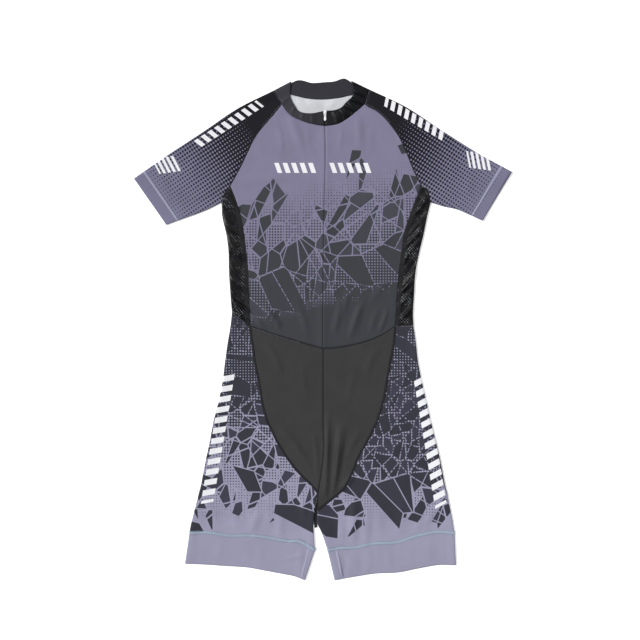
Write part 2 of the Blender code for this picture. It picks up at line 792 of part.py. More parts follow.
def add_slider(material, collection, cutters):
    """The slider: a plate on the collar, a keel down into the zip slot, and a bridge that holds the pull tab."""
    seat_z = STACK + COLLAR_WALL - WALL + ZIP_RIDGE + SEAM_GAP
    x = ZIP_TOP[0]
    base_outline = rounded_box(SLIDER_WIDTH, SLIDER_LENGTH, SLIDER_CORNER)
    base = plate("zip_slider", [base_outline], SLIDER_PLATE, collection)
    slider = add_mesh("zip_slider", base, material, collection)
    slider.location = (x * MM, (SLIDER_Y + SLIDER_AHEAD) * MM, (seat_z + SLIDER_PLATE / 2) * MM)

    bridge_height = BRIDGE_HOLE_HEIGHT + BRIDGE_WALL
    sunk = SLIDER_PLATE / 2
    half, slope = BRIDGE_LENGTH / 2, BRIDGE_SLOPE
    arch = [
        (-half, -sunk),
        (half, -sunk),
        (half, bridge_height - slope),
        (half - slope, bridge_height),
        (slope - half, bridge_height),
        (-half, bridge_height - slope),
    ]
    floor = -sunk / 2
    hole = [
        (sx * BRIDGE_HOLE_LENGTH / 2, z)
        for sx, z in ((-1, floor), (1, floor), (1, BRIDGE_HOLE_HEIGHT), (-1, BRIDGE_HOLE_HEIGHT))
    ]
    bridge = add_mesh("slider_bridge", plate("slider_bridge", [arch, hole], BRIDGE_WIDTH, cutters), material, cutters)
    bridge.rotation_euler = (math.pi / 2, 0, math.pi / 2)
    bridge.location = (x * MM, SLIDER_Y * MM, (seat_z + SLIDER_PLATE) * MM)

    keel_outline = rounded_box(KEEL_WIDTH, KEEL_LENGTH, KEEL_WIDTH / 3)
    keel = add_mesh("slider_keel", plate("slider_keel", [keel_outline], KEEL_DEPTH, cutters), material, cutters)
    keel.location = (x * MM, SLIDER_Y * MM, (seat_z + sunk - KEEL_DEPTH / 2) * MM)

    for part in (bridge, keel):
        part.hide_render = True
        part.display_type = "WIRE"
        join = slider.modifiers.new(part.name, "BOOLEAN")
        join.operation = "UNION"
        join.object = part
    return seat_z + SLIDER_PLATE + BRIDGE_HOLE_HEIGHT / 2


def add_pull(pivot_z, material, collection):
    """The pull tab, with its origin on the axis of the bar that passes through the slider's bridge."""
    eye = [
        (sx * PULL_EYE_WIDTH / 2, y)
        for sx, y in ((1, PULL_EYE_TOP), (-1, PULL_EYE_TOP), (-1, PULL_EYE_BOTTOM), (1, PULL_EYE_BOTTOM))
    ]
    mesh = plate("zip_pull", [pull_outline(), eye], PULL_THICKNESS, collection)
    pull = add_mesh("zip_pull", mesh, material, collection)
    pull.location = (ZIP_TOP[0] * MM, SLIDER_Y * MM, pivot_z * MM)
    pull.rotation_euler = (PULL_TILT, 0, 0)


def main():
    clear_scene()
    suit = bpy.data.collections.new("speed_skating_suit")
    cutters = bpy.data.collections.new("joining_pieces")
    for collection in (suit, cutters):
        bpy.context.scene.collection.children.link(collection)

    print_cloth = make_material("printed_knit", (0.21, 0.19, 0.31), 0.75)
    dark_cloth = make_material("dark_knit", (0.045, 0.045, 0.048), 0.7)
    mesh_cloth = make_material("black_mesh", (0.012, 0.012, 0.014), 0.8)
    band_cloth = make_material("leg_band_knit", (0.28, 0.27, 0.38), 0.75)
    collar_cloth = make_material("collar_knit", (0.022, 0.023, 0.027), 0.75)
    zip_tape = make_material("zip_tape", (0.03, 0.03, 0.035), 0.6)
    white_metal = make_material("white_enamel", (0.85, 0.85, 0.87), 0.3)

    right, left = side_lines("right"), side_lines("left")
    zip_line = run(ZIP_LINE, TORSO_STEPS)
    neck = back_neck(right, left)
    behind_neck = collar_back_grid(right, left, neck)
    inside_back = {"right": behind_neck[:, 1], "left": behind_neck[:, -2]}

    for side, lines in (("right", right), ("left", left)):
        add_cloth("front_" + side, front_panel(lines, zip_line), print_cloth, suit)
        add_cloth("side_mesh_" + side, side_panel(lines), mesh_cloth, suit)
        add_cloth("sleeve_" + side, sleeve(lines), print_cloth, suit, closed=True)
        add_cloth("short_front_" + side, short_front(lines), dark_cloth, suit)
        add_cloth("short_side_" + side, short_side(lines), print_cloth, suit)
        add_cloth("leg_band_" + side, leg_band(lines), band_cloth, suit, closed=True)
        add_cloth("collar_front_" + side, collar_front(lines, inside_back[side]), collar_cloth, suit)
    add_cloth("back", back_panel(right, left, neck), print_cloth, suit)
    add_cloth("seat", seat(right, left), dark_cloth, suit)
    add_cloth("collar_back", collar_back(behind_neck), collar_cloth, suit)
    add_cloth("zip_chain", zip_chain(), zip_tape, suit)
    pivot_z = add_slider(white_metal, suit, cutters)
    add_pull(pivot_z, white_metal, suit)


main()
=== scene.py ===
"""The looks of a short-sleeved speed skating suit, zipped up and laid flat, front side up.

The cutting lines are those of the solids, in millimetres, and each piece of cloth is drawn much finer on
them: a thin shell with its creases, its print, and the seams sewn on it. Left and right are the wearer's.
"""

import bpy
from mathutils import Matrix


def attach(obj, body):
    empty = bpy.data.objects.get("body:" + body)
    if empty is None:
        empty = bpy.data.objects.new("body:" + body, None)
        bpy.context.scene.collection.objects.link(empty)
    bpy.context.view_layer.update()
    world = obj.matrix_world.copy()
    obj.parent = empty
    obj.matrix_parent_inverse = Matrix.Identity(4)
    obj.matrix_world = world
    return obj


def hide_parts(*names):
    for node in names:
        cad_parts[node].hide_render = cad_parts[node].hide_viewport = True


bl_info = {
    "name": "Speed skating suit",
    "version": (1, 0, 0),
    "blender": (4, 5, 0),
    "location": "3D View > Sidebar > Suit",
    "description": "Cloth, seams, zip and studio of a speed skating suit laid flat",
    "category": "Object",
}

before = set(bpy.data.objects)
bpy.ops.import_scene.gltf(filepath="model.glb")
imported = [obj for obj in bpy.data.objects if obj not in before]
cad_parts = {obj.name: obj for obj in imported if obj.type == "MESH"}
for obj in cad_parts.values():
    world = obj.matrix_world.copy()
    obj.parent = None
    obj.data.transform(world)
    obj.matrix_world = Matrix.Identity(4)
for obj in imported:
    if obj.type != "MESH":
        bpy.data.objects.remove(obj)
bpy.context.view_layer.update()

import math
from typing import NamedTuple

import bmesh
import bpy
import numpy as np
from bpy.props import FloatProperty, FloatVectorProperty, IntProperty, PointerProperty
from mathutils import Matrix, Vector

MM = 0.001
SAME_POINT = 1e-6
BODY_NAME = "suit"
SIDES = ("right", "left")

# Cloth and seams, in mm, as in the solids
WALL = 1.2
COLLAR_WALL = 1.6
LAYER_GAP = 0.8
SEAM_GAP = 0.3
HALF_GAP = SEAM_GAP / 2
CENTRE_SEAM_GAP = 0.6
STACK = 2 * WALL + LAYER_GAP
ROLL_HEIGHT = 1.8
ROLL_WIDTH = 14.0
FOLD_RADIUS = (STACK + ROLL_HEIGHT) / 2
BACK_NECK_RISE = 24.0
ZIP_SLOT = 1.6
FRONT_SLOT = 0.3
ZIP_RIDGE = 1.1
ZIP_RIDGE_WIDTH = 18.0
LEAST_LEAD = 0.35

# Steps along each line of the solids
RAGLAN_STEPS = 6
NECK_STEPS = 4
ACROSS_FRONT = RAGLAN_STEPS + NECK_STEPS
TORSO_STEPS = 16
HIP_STEPS = 9
INSEAM_STEPS = 4
SLEEVE_STEPS = 8
BAND_STEPS = 4
SIDE_STEPS = 4
LEG_STEPS = 7
COLLAR_STEPS = 2
SEAT_BENT_STEPS = 4
FOLD_ANGLES = np.linspace(0, math.pi, 9)
LIP_ANGLES = np.linspace(0, math.pi / 2, 5)


def table(kind, *rows):
    """Rows of values as tuples of one kind, whose fields name the columns."""
    return [kind(*row) for row in rows]


class Level(NamedTuple):
    """One level of the body: where its folded edges and side seams cross it. Below the crotch the seams are
    inseams."""

    y: float
    right_fold: float
    right_seam: float
    left_seam: float
    left_fold: float


BODY = table(
    Level,
    (288, -204, -186, 197, 217),
    (255, -203, -173, 184, 215),
    (225, -201, -164, 173, 208),
    (190, -193, -158, 162, 201),
    (157, -189, -154, 158, 193),
    (115, -188, -150, 152, 185),
    (69, -185, -148, 148, 182),
    (34, -182, -147, 146, 180),
    (8, -185, -146, 144, 181),
    (-28, -191, -141, 141, 186),
    (-64, -196, -136, 134, 190),
    (-104, -201, -128, 127, 198),
    (-147, -210, -121, 119, 208),
    (-183, -219, -111, 107, 216),
    (-220, -226, -93, 89, 225),
    (-253, -233, -73, 71, 233),
    (-283, -239, -50, 59, 239),
    (-310, -244, -23, 46, 244),
    (-325, -248, -10, 33, 248),
    (-345, -253, -14, 9, 252),
    (-360, -257, -16, -10, 255),
    (-380, -262, -18, -13, 259),
    (-393, -265, -19, -9, 261),
    (-405, -267, -18, -3, 263),
    (-440, -272, -16, 9, 265),
)
ARMPIT_Y = 288
UNDERARM_Y = 255
WAIST_Y = 8
HIP_Y = -183
BAND_FOLD_Y = -405
BAND_SEAM_Y = -440


class RaglanPoint(NamedTuple):
    """A height on the front raglan seams, from armpit to neck."""

    y: float
    right: float
    left: float


RAGLAN = table(
    RaglanPoint,
    (288, -186, 197),
    (320, -168, 181),
    (355, -151, 167),
    (390, -133, 150),
    (430, -100, 118),
    (452, -82, 83),
)


class Band(NamedTuple):
    """One section across a band: where it is sewn on, and its other edge."""

    seam_x: float
    seam_y: float
    edge_x: float
    edge_y: float


# From the zip out to the fold at the shoulder
COLLAR_FRONT = {
    "right": table(
        Band,
        (4, 408, 4, 438),
        (-28, 414, -24, 434),
        (-56, 425, -46, 438),
        (-70, 435, -56, 450),
        (-82, 452, -65, 470),
        (-98, 479, -64, 497),
    ),
    "left": table(
        Band,
        (4, 408, 4, 438),
        (28, 412, 22, 440),
        (42, 419, 36, 446),
        (56, 429, 45, 456),
        (83, 452, 59, 472),
        (92, 481, 57, 498),
    ),
}
# From the right shoulder round the back of the neck to the left shoulder
COLLAR_BACK = table(
    Band,
    (-98, 479, -64, 497),
    (-82, 476, -56, 498),
    (-66, 471, -46, 497),
    (-45, 466, -35, 494),
    (-28, 463, -24, 492),
    (0, 462, 0, 493),
    (32, 465, 22, 494),
    (50, 469, 33, 496),
    (66, 472, 42, 499),
    (83, 476, 50, 500),
    (92, 481, 57, 498),
)
# From the inseam out to the folded edge
LEG_BAND = {
    "right": table(
        Band,
        (-16, -440, -36, -500),
        (-45, -424, -55, -493),
        (-75, -422, -75, -489),
        (-112, -415, -113, -482),
        (-150, -411, -152, -475),
        (-189, -411, -195, -472),
        (-228, -405, -236, -469),
        (-267, -405, -276, -467),
    ),
    "left": table(
        Band,
        (9, -440, 23, -500),
        (35, -436, 45, -496),
        (66, -434, 76, -491),
        (100, -427, 104, -487),
        (148, -424, 148, -485),
        (186, -412, 190, -477),
        (225, -404, 230, -470),
        (263, -405, 266, -470),
    ),
}


class SleeveSection(NamedTuple):
    """One section across a sleeve: the fold on top of the shoulder, and the fold under the arm."""

    top_x: float
    top_y: float
    under_x: float
    under_y: float


SLEEVE = {
    "right": table(
        SleeveSection,
        (-98, 479, -203, 255),
        (-170, 443, -230, 241),
        (-240, 396, -258, 230),
        (-310, 350, -286, 220),
        (-378, 303, -313, 210),
    ),
    "left": table(
        SleeveSection,
        (92, 481, 215, 255),
        (165, 446, 240, 247),
        (240, 397, 267, 241),
        (310, 353, 293, 230),
        (378, 316, 319, 218),
    ),
}
ARMPIT_CORNER = {"right": (-198, 271), "left": (211, 279)}
WAIST_FOLD_Y = {"right": 34, "left": 8}
CROTCH_Y = {"right": -325, "left": -360}
SEAT_TIP_Y = -388
WAIST = {
    "right": [(-146, 8), (-98, -8), (-39, -26), (0, -37)],
    "left": [(144, 8), (114, -12), (76, -26), (32, -35), (0, -37)],
}
ZIP_LINE = [(0, -37), (0, 43), (2, 209), (5, 343), (4, 408)]
ZIP_TOP = (4, 438)
CENTRE_SEAM = {
    "right": [(0, -37), (0, -181), (1, -237), (-3, -281), (-10, -325)],
    "left": [(0, -37), (0, -181), (1, -237), (-3, -281), (-10, -325), (-10, -360)],
}


class Crease(NamedTuple):
    """A soft ridge of the front layer between two points, or a trough where its height is below 0. bow is how
    far its middle lies off the straight line, to the left of the way from start to end."""

    x0: float
    y0: float
    x1: float
    y1: float
    height: float
    half_width: float
    bow: float = 0.0


FOLDS = table(
    Crease,
    # The plain front of the shorts, left of the centre seam, down to the crotch
    (10, -165, 4, -335, 3.5, 11),
    (40, -185, 18, -325, 4.5, 17),
    (60, -290, 34, -322, 2.5, 11),
    # Left leg above its band
    (62, -335, 60, -432, 3.5, 12),
    (88, -350, 84, -440, 2.6, 12),
    (230, -345, 200, -395, 2.2, 12),
    # Right leg above its band
    (-128, -360, -146, -408, 2.6, 14),
    (-84, -366, -88, -420, 2.2, 12),
    (-236, -330, -210, -392, 2.0, 12),
    # Front of the belly
    (48, 75, 22, -8, 3.0, 15),
    (76, 50, 58, -14, 2.2, 13),
    (-118, 52, -86, 2, 2.8, 14),
    # Chest, below the collar and across
    (-68, 432, -36, 352, 2.4, 15),
    (70, 428, 74, 362, 2.0, 13),
    (-160, 300, -50, 306, 1.8, 15),
    # Collar, gathered left of the zip
    (26, 440, 36, 416, 2.6, 7),
    (38, 446, 52, 426, 3.0, 7),
    (47, 459, 66, 441, 2.4, 7),
    # Mesh side pieces
    (-206, 240, -160, 202, 2.6, 12),
    (-196, 196, -156, 140, 2.0, 12),
    (-190, 66, -146, 40, 3.0, 11),
    (206, 236, 166, 184, 2.0, 12),
    (188, 128, 152, 66, 1.8, 12),
    # Sleeves beside the armpits
    (214, 292, 268, 266, 2.4, 13),
    (-212, 282, -262, 262, 2.0, 13),
)
CREASES = table(
    Crease,
    # Chest and belly
    (-96, 418, -84, 352, 1.0, 9, 5),
    (-30, 404, -22, 350, 0.9, 8, -4),
    (34, 408, 30, 352, 0.8, 8, 4),
    (104, 414, 96, 356, 0.9, 10, -5),
    (-150, 262, -70, 250, 1.0, 12, 6),
    (150, 276, 70, 262, 1.0, 12, -5),
    (-140, 196, -98, 150, 0.9, 12, -5),
    (138, 210, 102, 160, 0.8, 12, 6),
    (-138, 110, -104, 70, 0.9, 11, 4),
    (132, 96, 96, 52, 1.0, 11, -4),
    (-60, 62, -30, -16, 1.3, 11, 5),
    (-124, 46, -84, 6, 1.8, 6, 3),
    (-112, 36, -92, -4, -1.2, 5, 2),
    (84, 62, 52, -20, 1.7, 8, -4),
    (40, 96, 30, -12, -1.3, 9, 3),
    (128, 44, 112, -4, 1.5, 7, 2),
    (-134, 28, -120, 2, 1.2, 8, 0),
    (110, 40, 96, -6, 1.3, 10, -3),
    (26, 120, 14, 60, 0.9, 10, 4),
    # Plain front of the shorts
    (-118, -24, -84, -92, 1.1, 13, 6),
    (114, -30, 86, -100, 1.0, 13, -6),
    (-40, -60, -24, -150, 0.8, 13, -6),
    (60, -70, 44, -150, 0.9, 13, 5),
    (-92, -190, -40, -262, 1.2, 12, 6),
    (9, -176, 4, -336, 1.4, 5, 2),
    (24, -186, 12, -332, -1.8, 6, 2),
    (33, -190, 20, -330, 1.5, 6, 2),
    (46, -196, 28, -318, -1.2, 7, 3),
    (-20, -200, -12, -300, 1.0, 8, 3),
    (78, -200, 50, -258, 1.0, 11, -5),
    (-60, -222, -22, -286, 0.9, 9, 4),
    # Printed legs
    (-196, -60, -140, -88, 1.1, 11, 5),
    (-204, -132, -140, -150, 0.9, 12, -5),
    (190, -56, 142, -84, 1.0, 11, -5),
    (204, -128, 140, -152, 0.9, 12, 5),
    (-186, -206, -120, -236, 0.9, 15, -7),
    (180, -214, 112, -246, 0.9, 15, 7),
    (-52, -302, -38, -392, 1.6, 11, 5),
    (-110, -336, -112, -404, 1.2, 9, 3),
    (-176, -352, -172, -402, 1.3, 10, -3),
    (-246, -356, -240, -398, 1.1, 7, 0),
    (30, -372, 36, -428, 1.8, 9, 3),
    (116, -352, 116, -422, 1.3, 11, -4),
    (156, -346, 150, -410, 1.2, 12, 4),
    (196, -352, 186, -404, 1.2, 9, 2),
    # Bands
    (-44, -432, -52, -486, 1.2, 8, 2),
    (-30, -446, -84, -458, 1.1, 6, 2),
    (36, -446, 42, -498, -1.6, 5, 1),
    (50, -444, 54, -496, 1.5, 6, 1),
    (92, -434, 88, -490, 0.9, 8, 2),
    (-120, -422, -124, -474, 0.8, 10, -2),
    (-206, -412, -210, -466, 0.8, 11, 2),
    (28, -440, 36, -494, 1.6, 7, 2),
    (60, -438, 68, -488, 1.2, 8, -2),
    (128, -428, 130, -482, 0.8, 10, 2),
    (212, -410, 214, -466, 0.8, 10, -2),
    # Collar, gathered left of the zip
    (46, 462, 82, 450, 3.4, 5, 3),
    (40, 453, 70, 437, 3.2, 4.5, -2),
    (40, 448, 58, 430, -1.8, 4, 1),
    (19, 437, 30, 414, 3.0, 4, 1),
    (32, 443, 46, 421, 3.2, 4, 1),
    (13, 437, 19, 413, -1.4, 4, 0),
    (58, 478, 88, 466, 2.4, 5, 1),
    (56, 489, 84, 482, -1.2, 5, 1),
    # Collar, right of the zip and at its shoulder
    (-20, 412, -22, 434, 0.9, 6, 0),
    (-44, 418, -38, 436, 1.1, 6, 0),
    (-66, 430, -54, 448, 1.2, 6, 0),
    (-84, 452, -66, 466, 1.2, 6, 0),
    (78, 456, 60, 468, 1.2, 6, 0),
    # Mesh side pieces
    (-200, 266, -166, 236, 3.3, 7, 2),
    (-202, 240, -164, 210, -2.7, 7, 3),
    (-200, 222, -158, 184, 3.0, 7, -3),
    (-194, 178, -156, 136, 3.9, 8, 3),
    (-192, 156, -154, 112, -3.0, 7, 3),
    (-190, 140, -152, 92, 3.3, 7, -3),
    (-188, 108, -148, 66, 3.0, 8, 3),
    (-186, 78, -148, 44, -2.7, 7, -2),
    (-186, 58, -144, 34, 4.2, 6, 3),
    (-184, 46, -142, 20, -3.0, 5, 2),
    (-182, 38, -140, 10, 3.9, 6, 2),
    (-176, 62, -160, 24, 2.4, 5, -3),
    (210, 268, 176, 226, 2.8, 7, 2),
    (206, 238, 168, 196, -2.5, 7, -2),
    (202, 212, 160, 164, 3.3, 8, 3),
    (196, 182, 156, 128, 3.0, 7, -3),
    (190, 146, 154, 100, -2.5, 7, 2),
    (188, 120, 150, 70, 3.3, 7, 3),
    (184, 84, 148, 42, 2.8, 7, -2),
    (180, 48, 148, 18, 3.0, 6, 2),
    # Sleeves
    (-138, 400, -150, 372, 1.2, 10, 3),
    (-168, 344, -220, 286, 1.2, 12, 8),
    (-206, 320, -252, 276, 1.0, 11, 6),
    (-232, 380, -262, 300, 0.8, 14, -8),
    (-300, 330, -292, 250, 0.8, 12, 6),
    (-330, 318, -304, 244, 0.8, 9, 4),
    (150, 404, 158, 374, 1.1, 10, -3),
    (178, 346, 226, 290, 1.2, 12, -8),
    (214, 326, 256, 282, 1.0, 11, -6),
    (234, 384, 262, 306, 0.8, 14, 8),
    (300, 336, 296, 258, 0.8, 12, -6),
    (334, 326, 310, 254, 0.8, 9, -4),
)

# Unevenness of the cloth, in mm: how wide the waves are, and how high
WAVES = [(62.0, 0.42), (27.0, 0.24), (11.0, 0.09)]
PUCKER_SIZE = 7.0
PUCKER_REACH = 8.0
PUCKER_HEIGHT = 0.42
LEAST_RISE = 2.9
TROUGH_SOFTNESS = 0.25
BACK_WAVE = 0.3
BACK_WAVES = [(46.0, 0.7), (15.0, 0.3)]
# The least share of the waves beside the zip and at a folded edge
LEAST_CALM_ZIP = 0.15
LEAST_CALM_EDGE = 0.1
# Which random layout the puckers and the back's waves take
PUCKER_SEED = 9
BACK_SEED = 21
# Wrinkles of the back layer that show in the neck
NECK_CREASES = table(
    Crease,
    (-52, 464, -26, 446, 2.0, 8, -4),
    (-34, 462, 0, 448, 1.8, 7, -4),
    (4, 447, 28, 461, 1.8, 7, -3),
)


def linear(*values):
    """The linear colour of red, green and blue given from 0 to 255 as a screen shows them."""
    shares = [value / 255 for value in values]
    return tuple(s / 12.92 if s <= 0.04045 else ((s + 0.055) / 1.055) ** 2.4 for s in shares)


def colour(name, description, *values):
    return FloatVectorProperty(
        name=name, description=description, subtype="COLOR", size=3, min=0, max=1, default=linear(*values)
    )


def metres(name, description, value):
    return FloatProperty(name=name, description=description, default=value, unit="LENGTH")


def strength(name, description, value):
    return FloatProperty(name=name, description=description, default=value, min=0)


class SuitCloth(bpy.types.PropertyGroup):
    fineness: IntProperty(
        name="Fineness", description="Steps of the cloth to one step of the solids", default=6, min=1, max=10
    )
    crease: strength("Creases", "How high the small creases stand", 1.2)
    dot_pitch: metres("Dots", "Distance between the dots of the body print", 0.0056)
    sleeve_pitch: metres("Sleeve dots", "Distance between the dots along a sleeve", 0.0058)
    sleeve_row: metres("Sleeve rows", "Distance between the rows of dots across a sleeve", 0.0074)
    facet: metres("Patches", "Size of the large patches of the print", 0.056)


class SuitColours(bpy.types.PropertyGroup):
    chest: colour("Chest", "Light ground of the upper body", 121, 117, 142)
    leg: colour("Leg", "Light ground of the legs", 146, 144, 167)
    sleeve: colour("Sleeve", "Light ground of the sleeves", 116, 114, 138)
    band: colour("Leg band", "Elastic bands at the knees", 144, 142, 164)
    belly: colour("Belly", "Dark ink of the upper body", 52, 54, 59)
    leg_ink: colour("Leg ink", "Dark ink of the legs", 46, 46, 56)
    sleeve_ink: colour("Sleeve ink", "Dark ink of the sleeves", 24, 23, 28)
    plain: colour("Plain cloth", "Front and seat of the shorts", 51, 51, 52)
    mesh: colour("Mesh", "Side strips", 9, 9, 12)
    # Colour of the painted highlights on the mesh threads
    mesh_light: colour("Mesh light", "Lit threads of the side strips", 132, 136, 142)
    # The collar's right and left colours are painted light: painted light at the right, painted shade at the
    # left
    collar: colour("Collar", "Outer side of the collar at the right", 56, 56, 62)
    collar_left_shaded: colour("Collar, left", "Outer side of the collar at the left", 9, 10, 14)
    lining: colour("Inner collar", "Inner side of the collar", 44, 44, 51)
    inside: colour("Inner side", "Inner side of the printed cloth", 200, 202, 206)
    seam: colour("Seams", "Raised seams and dark thread", 27, 27, 30)
    pale_thread: colour("Pale thread", "Thread of the leg bands and hems", 158, 172, 190)
    enamel: colour("Enamel", "Slider and pull tab", 232, 233, 236)


class SuitStage(bpy.types.PropertyGroup):
    view_width: metres("View", "Width of the view on the suit", 1.28)
    lens: FloatProperty(name="Lens", description="Focal length in mm", default=100, min=20)
    middle: FloatVectorProperty(
        name="Middle", description="The point under the camera", size=2, subtype="XYZ", unit="LENGTH",
        default=(-0.006, 0.020),
    )
    key: strength("Key light", "Strength of the key light", 3.2)
    fill: strength("Fill light", "Strength of the fill light", 0.7)
    glow: strength("Glow", "Light of the floor itself", 0.35)
    sky: strength("Sky", "Strength of the light from all round", 0.26)


def smooth_line(points, steps_each=16):
    """A close row of points on a Catmull-Rom curve through the given ones."""
    points = np.asarray(points, float)
    ends = np.vstack([2 * points[0] - points[1], points, 2 * points[-1] - points[-2]])
    t = np.linspace(0, 1, steps_each, endpoint=False)[:, None]
    spans = [
        (2 * b + (c - a) * t + (2 * a - 5 * b + 4 * c - d) * t**2 + (3 * b - a - 3 * c + d) * t**3) / 2
        for a, b, c, d in zip(ends, ends[1:], ends[2:], ends[3:])
    ]
    return np.vstack([*spans, points[-1:]])


def lengths(line):
    """How far along a line of points each of them lies."""
    return np.concatenate([[0], np.cumsum(np.linalg.norm(np.diff(line, axis=0), axis=1))])


def at_lengths(line, places, gone=None):
    """The points at these lengths along a line of points."""
    gone = lengths(line) if gone is None else gone
    return np.column_stack([np.interp(places, gone, line[:, k]) for k in range(line.shape[1])])


def spaced(line, steps):
    """steps + 1 points, evenly spaced along a line of points."""
    line = np.asarray(line, float)
    return at_lengths(line, np.linspace(0, lengths(line)[-1], steps + 1))


def run(points, steps):
    return spaced(smooth_line(points), steps)


def joined(*lines):
    """One line from several that follow on from each other."""
    return np.vstack([lines[0], *[line[1:] for line in lines[1:]]])


def split(line, times):
    """The same line with each of its straight steps cut into several."""
    steps = [spaced(pair, times)[:-1] for pair in zip(line, line[1:])]
    return np.vstack([*steps, line[-1:]])


def body_line(column, first_y, last_y):
    """The points of one column of BODY between two heights, from the first to the last."""
    low, high = sorted((first_y, last_y))
    points = [(getattr(level, column), level.y) for level in BODY if low <= level.y <= high]
    return points if first_y > last_y else points[::-1]


def patch(near, far, start, end):
    """A grid of points between four lines. near and far run across it, start and end from near to far."""
    u = np.linspace(0, 1, len(near))[None, :, None]
    v = np.linspace(0, 1, len(start))[:, None, None]
    across = (1 - v) * near[None] + v * far[None]
    along = (1 - u) * start[:, None] + u * end[:, None]
    corners = (1 - v) * ((1 - u) * near[0] + u * near[-1]) + v * ((1 - u) * far[0] + u * far[-1])
    return across + along - corners


def inward(line, inside):
    """Unit normals of a line in the plane, on the side where the points of inside are."""
    tangent = np.gradient(line, axis=0)
    normal = np.column_stack([-tangent[:, 1], tangent[:, 0]])
    normal /= np.linalg.norm(normal, axis=1)[:, None]
    towards = np.einsum("ij,ij->i", normal, inside - line)
    return normal * np.where(towards < 0, -1.0, 1.0)[:, None]


def leading(line, inside):
    """For each point of a line, the step along its row, towards inside, that goes 1 mm in from the line."""
    way = (inside - line) / np.linalg.norm(inside - line, axis=1)[:, None]
    lead = np.einsum("ij,ij->i", way, inward(line, inside))
    return way / np.maximum(lead, LEAST_LEAD)[:, None]


def pull_back(grid, near=0.0, far=0.0, start=0.0, end=0.0):
    """The grid with its sides moved inwards by these distances. All its points move, less and less towards
    the other side, so that close rows stay in order."""
    moved = grid.copy()
    down = np.linspace(1, 0, grid.shape[0])[:, None, None]
    across = np.linspace(1, 0, grid.shape[1])[None, :, None]
    moved += down * near * leading(grid[0], grid[1])[None]
    moved += down[::-1] * far * leading(grid[-1], grid[-2])[None]
    moved += across * (np.reshape(start, (-1, 1)) * leading(grid[:, 0], grid[:, 1]))[:, None]
    moved += across[:, ::-1] * (np.reshape(end, (-1, 1)) * leading(grid[:, -1], grid[:, -2]))[:, None]
    return moved


def distance_to(xy, line):
    """Distance from each point to a line of points."""
    nearest = np.full(xy.shape[:-1], np.inf)
    for a, b in zip(line, line[1:]):
        along = b - a
        share = np.clip(((xy - a) @ along) / (along @ along), 0, 1)
        nearest = np.minimum(nearest, np.linalg.norm(xy - a - share[..., None] * along, axis=-1))
    return nearest


def folded_edges():
    """Every line where the cloth turns from the front to the back."""
    lines = []
    for side in SIDES:
        band, collar = LEG_BAND[side], COLLAR_FRONT[side]
        hem_in, hem_out = band[0][2:], band[-1][2:]
        lines.append([section[:2] for section in SLEEVE[side]])
        lines.append([section[2:] for section in SLEEVE[side]])
        lines.append([*body_line(side + "_fold", UNDERARM_Y, BAND_FOLD_Y), hem_out])
        lines.append([*body_line(side + "_seam", CROTCH_Y[side], BAND_SEAM_Y), hem_in])
        lines.append([collar[-1][:2], collar[-1][2:]])
    return [spaced(smooth_line(line), 4 * len(line)) for line in lines]


def sewn_lines():
    """The seams of the front beside which the cloth puckers."""
    lines = [[*ZIP_LINE, ZIP_TOP]]
    for side in SIDES:
        lines.append([(getattr(p, side), p.y) for p in RAGLAN])
        lines.append(body_line(side + "_seam", CROTCH_Y[side], ARMPIT_Y))
        lines.append(WAIST[side])
        lines.append(CENTRE_SEAM[side])
        lines.append([section[:2] for section in LEG_BAND[side]])
        lines.append([section[:2] for section in COLLAR_FRONT[side][:-1]])
    return [spaced(smooth_line(line), 3 * len(line)) for line in lines]


FOLDED_EDGES = folded_edges()
SEWN_LINES = sewn_lines()


def hump(distance, half_width):
    """1 on a line, falling softly to 0 at half_width from it."""
    return np.cos(np.clip(distance / half_width, 0, 1) * math.pi / 2) ** 2


# Numbers that turn a cell's place and seed into an even scatter of values
SEED_SHIFT = 17.3
SCATTER = (127.1, 311.7, 74.7)
SCATTER_SCALE = 43758.5453


def unevenness(xy, size, seed):
    """Soft waves of about this size over the plane, from -1 to 1, the same each time for a seed."""
    place = xy / size + seed * SEED_SHIFT
    cell = np.floor(place)
    share = place - cell
    share = share * share * (3 - 2 * share)

    def corner(dx, dy):
        code = (cell[..., 0] + dx) * SCATTER[0] + (cell[..., 1] + dy) * SCATTER[1] + seed * SCATTER[2]
        return np.modf(np.abs(np.sin(code) * SCATTER_SCALE))[0] * 2 - 1

    low = corner(0, 0) * (1 - share[..., 0]) + corner(1, 0) * share[..., 0]
    high = corner(0, 1) * (1 - share[..., 0]) + corner(1, 1) * share[..., 0]
    return low * (1 - share[..., 1]) + high * share[..., 1]


def crease_height(xy, crease):
    start, end = np.array(crease[:2], float), np.array(crease[2:4], float)
    axis = end - start
    normal = np.array([-axis[1], axis[0]]) / np.linalg.norm(axis)
    share = ((xy - start) @ axis) / (axis @ axis)
    inside = np.clip(share, 0, 1)
    off_line = (xy - start) @ normal - crease.bow * 4 * inside * (1 - inside)
    return crease.height * np.sin(inside * math.pi) ** 0.7 * hump(np.abs(off_line), crease.half_width)


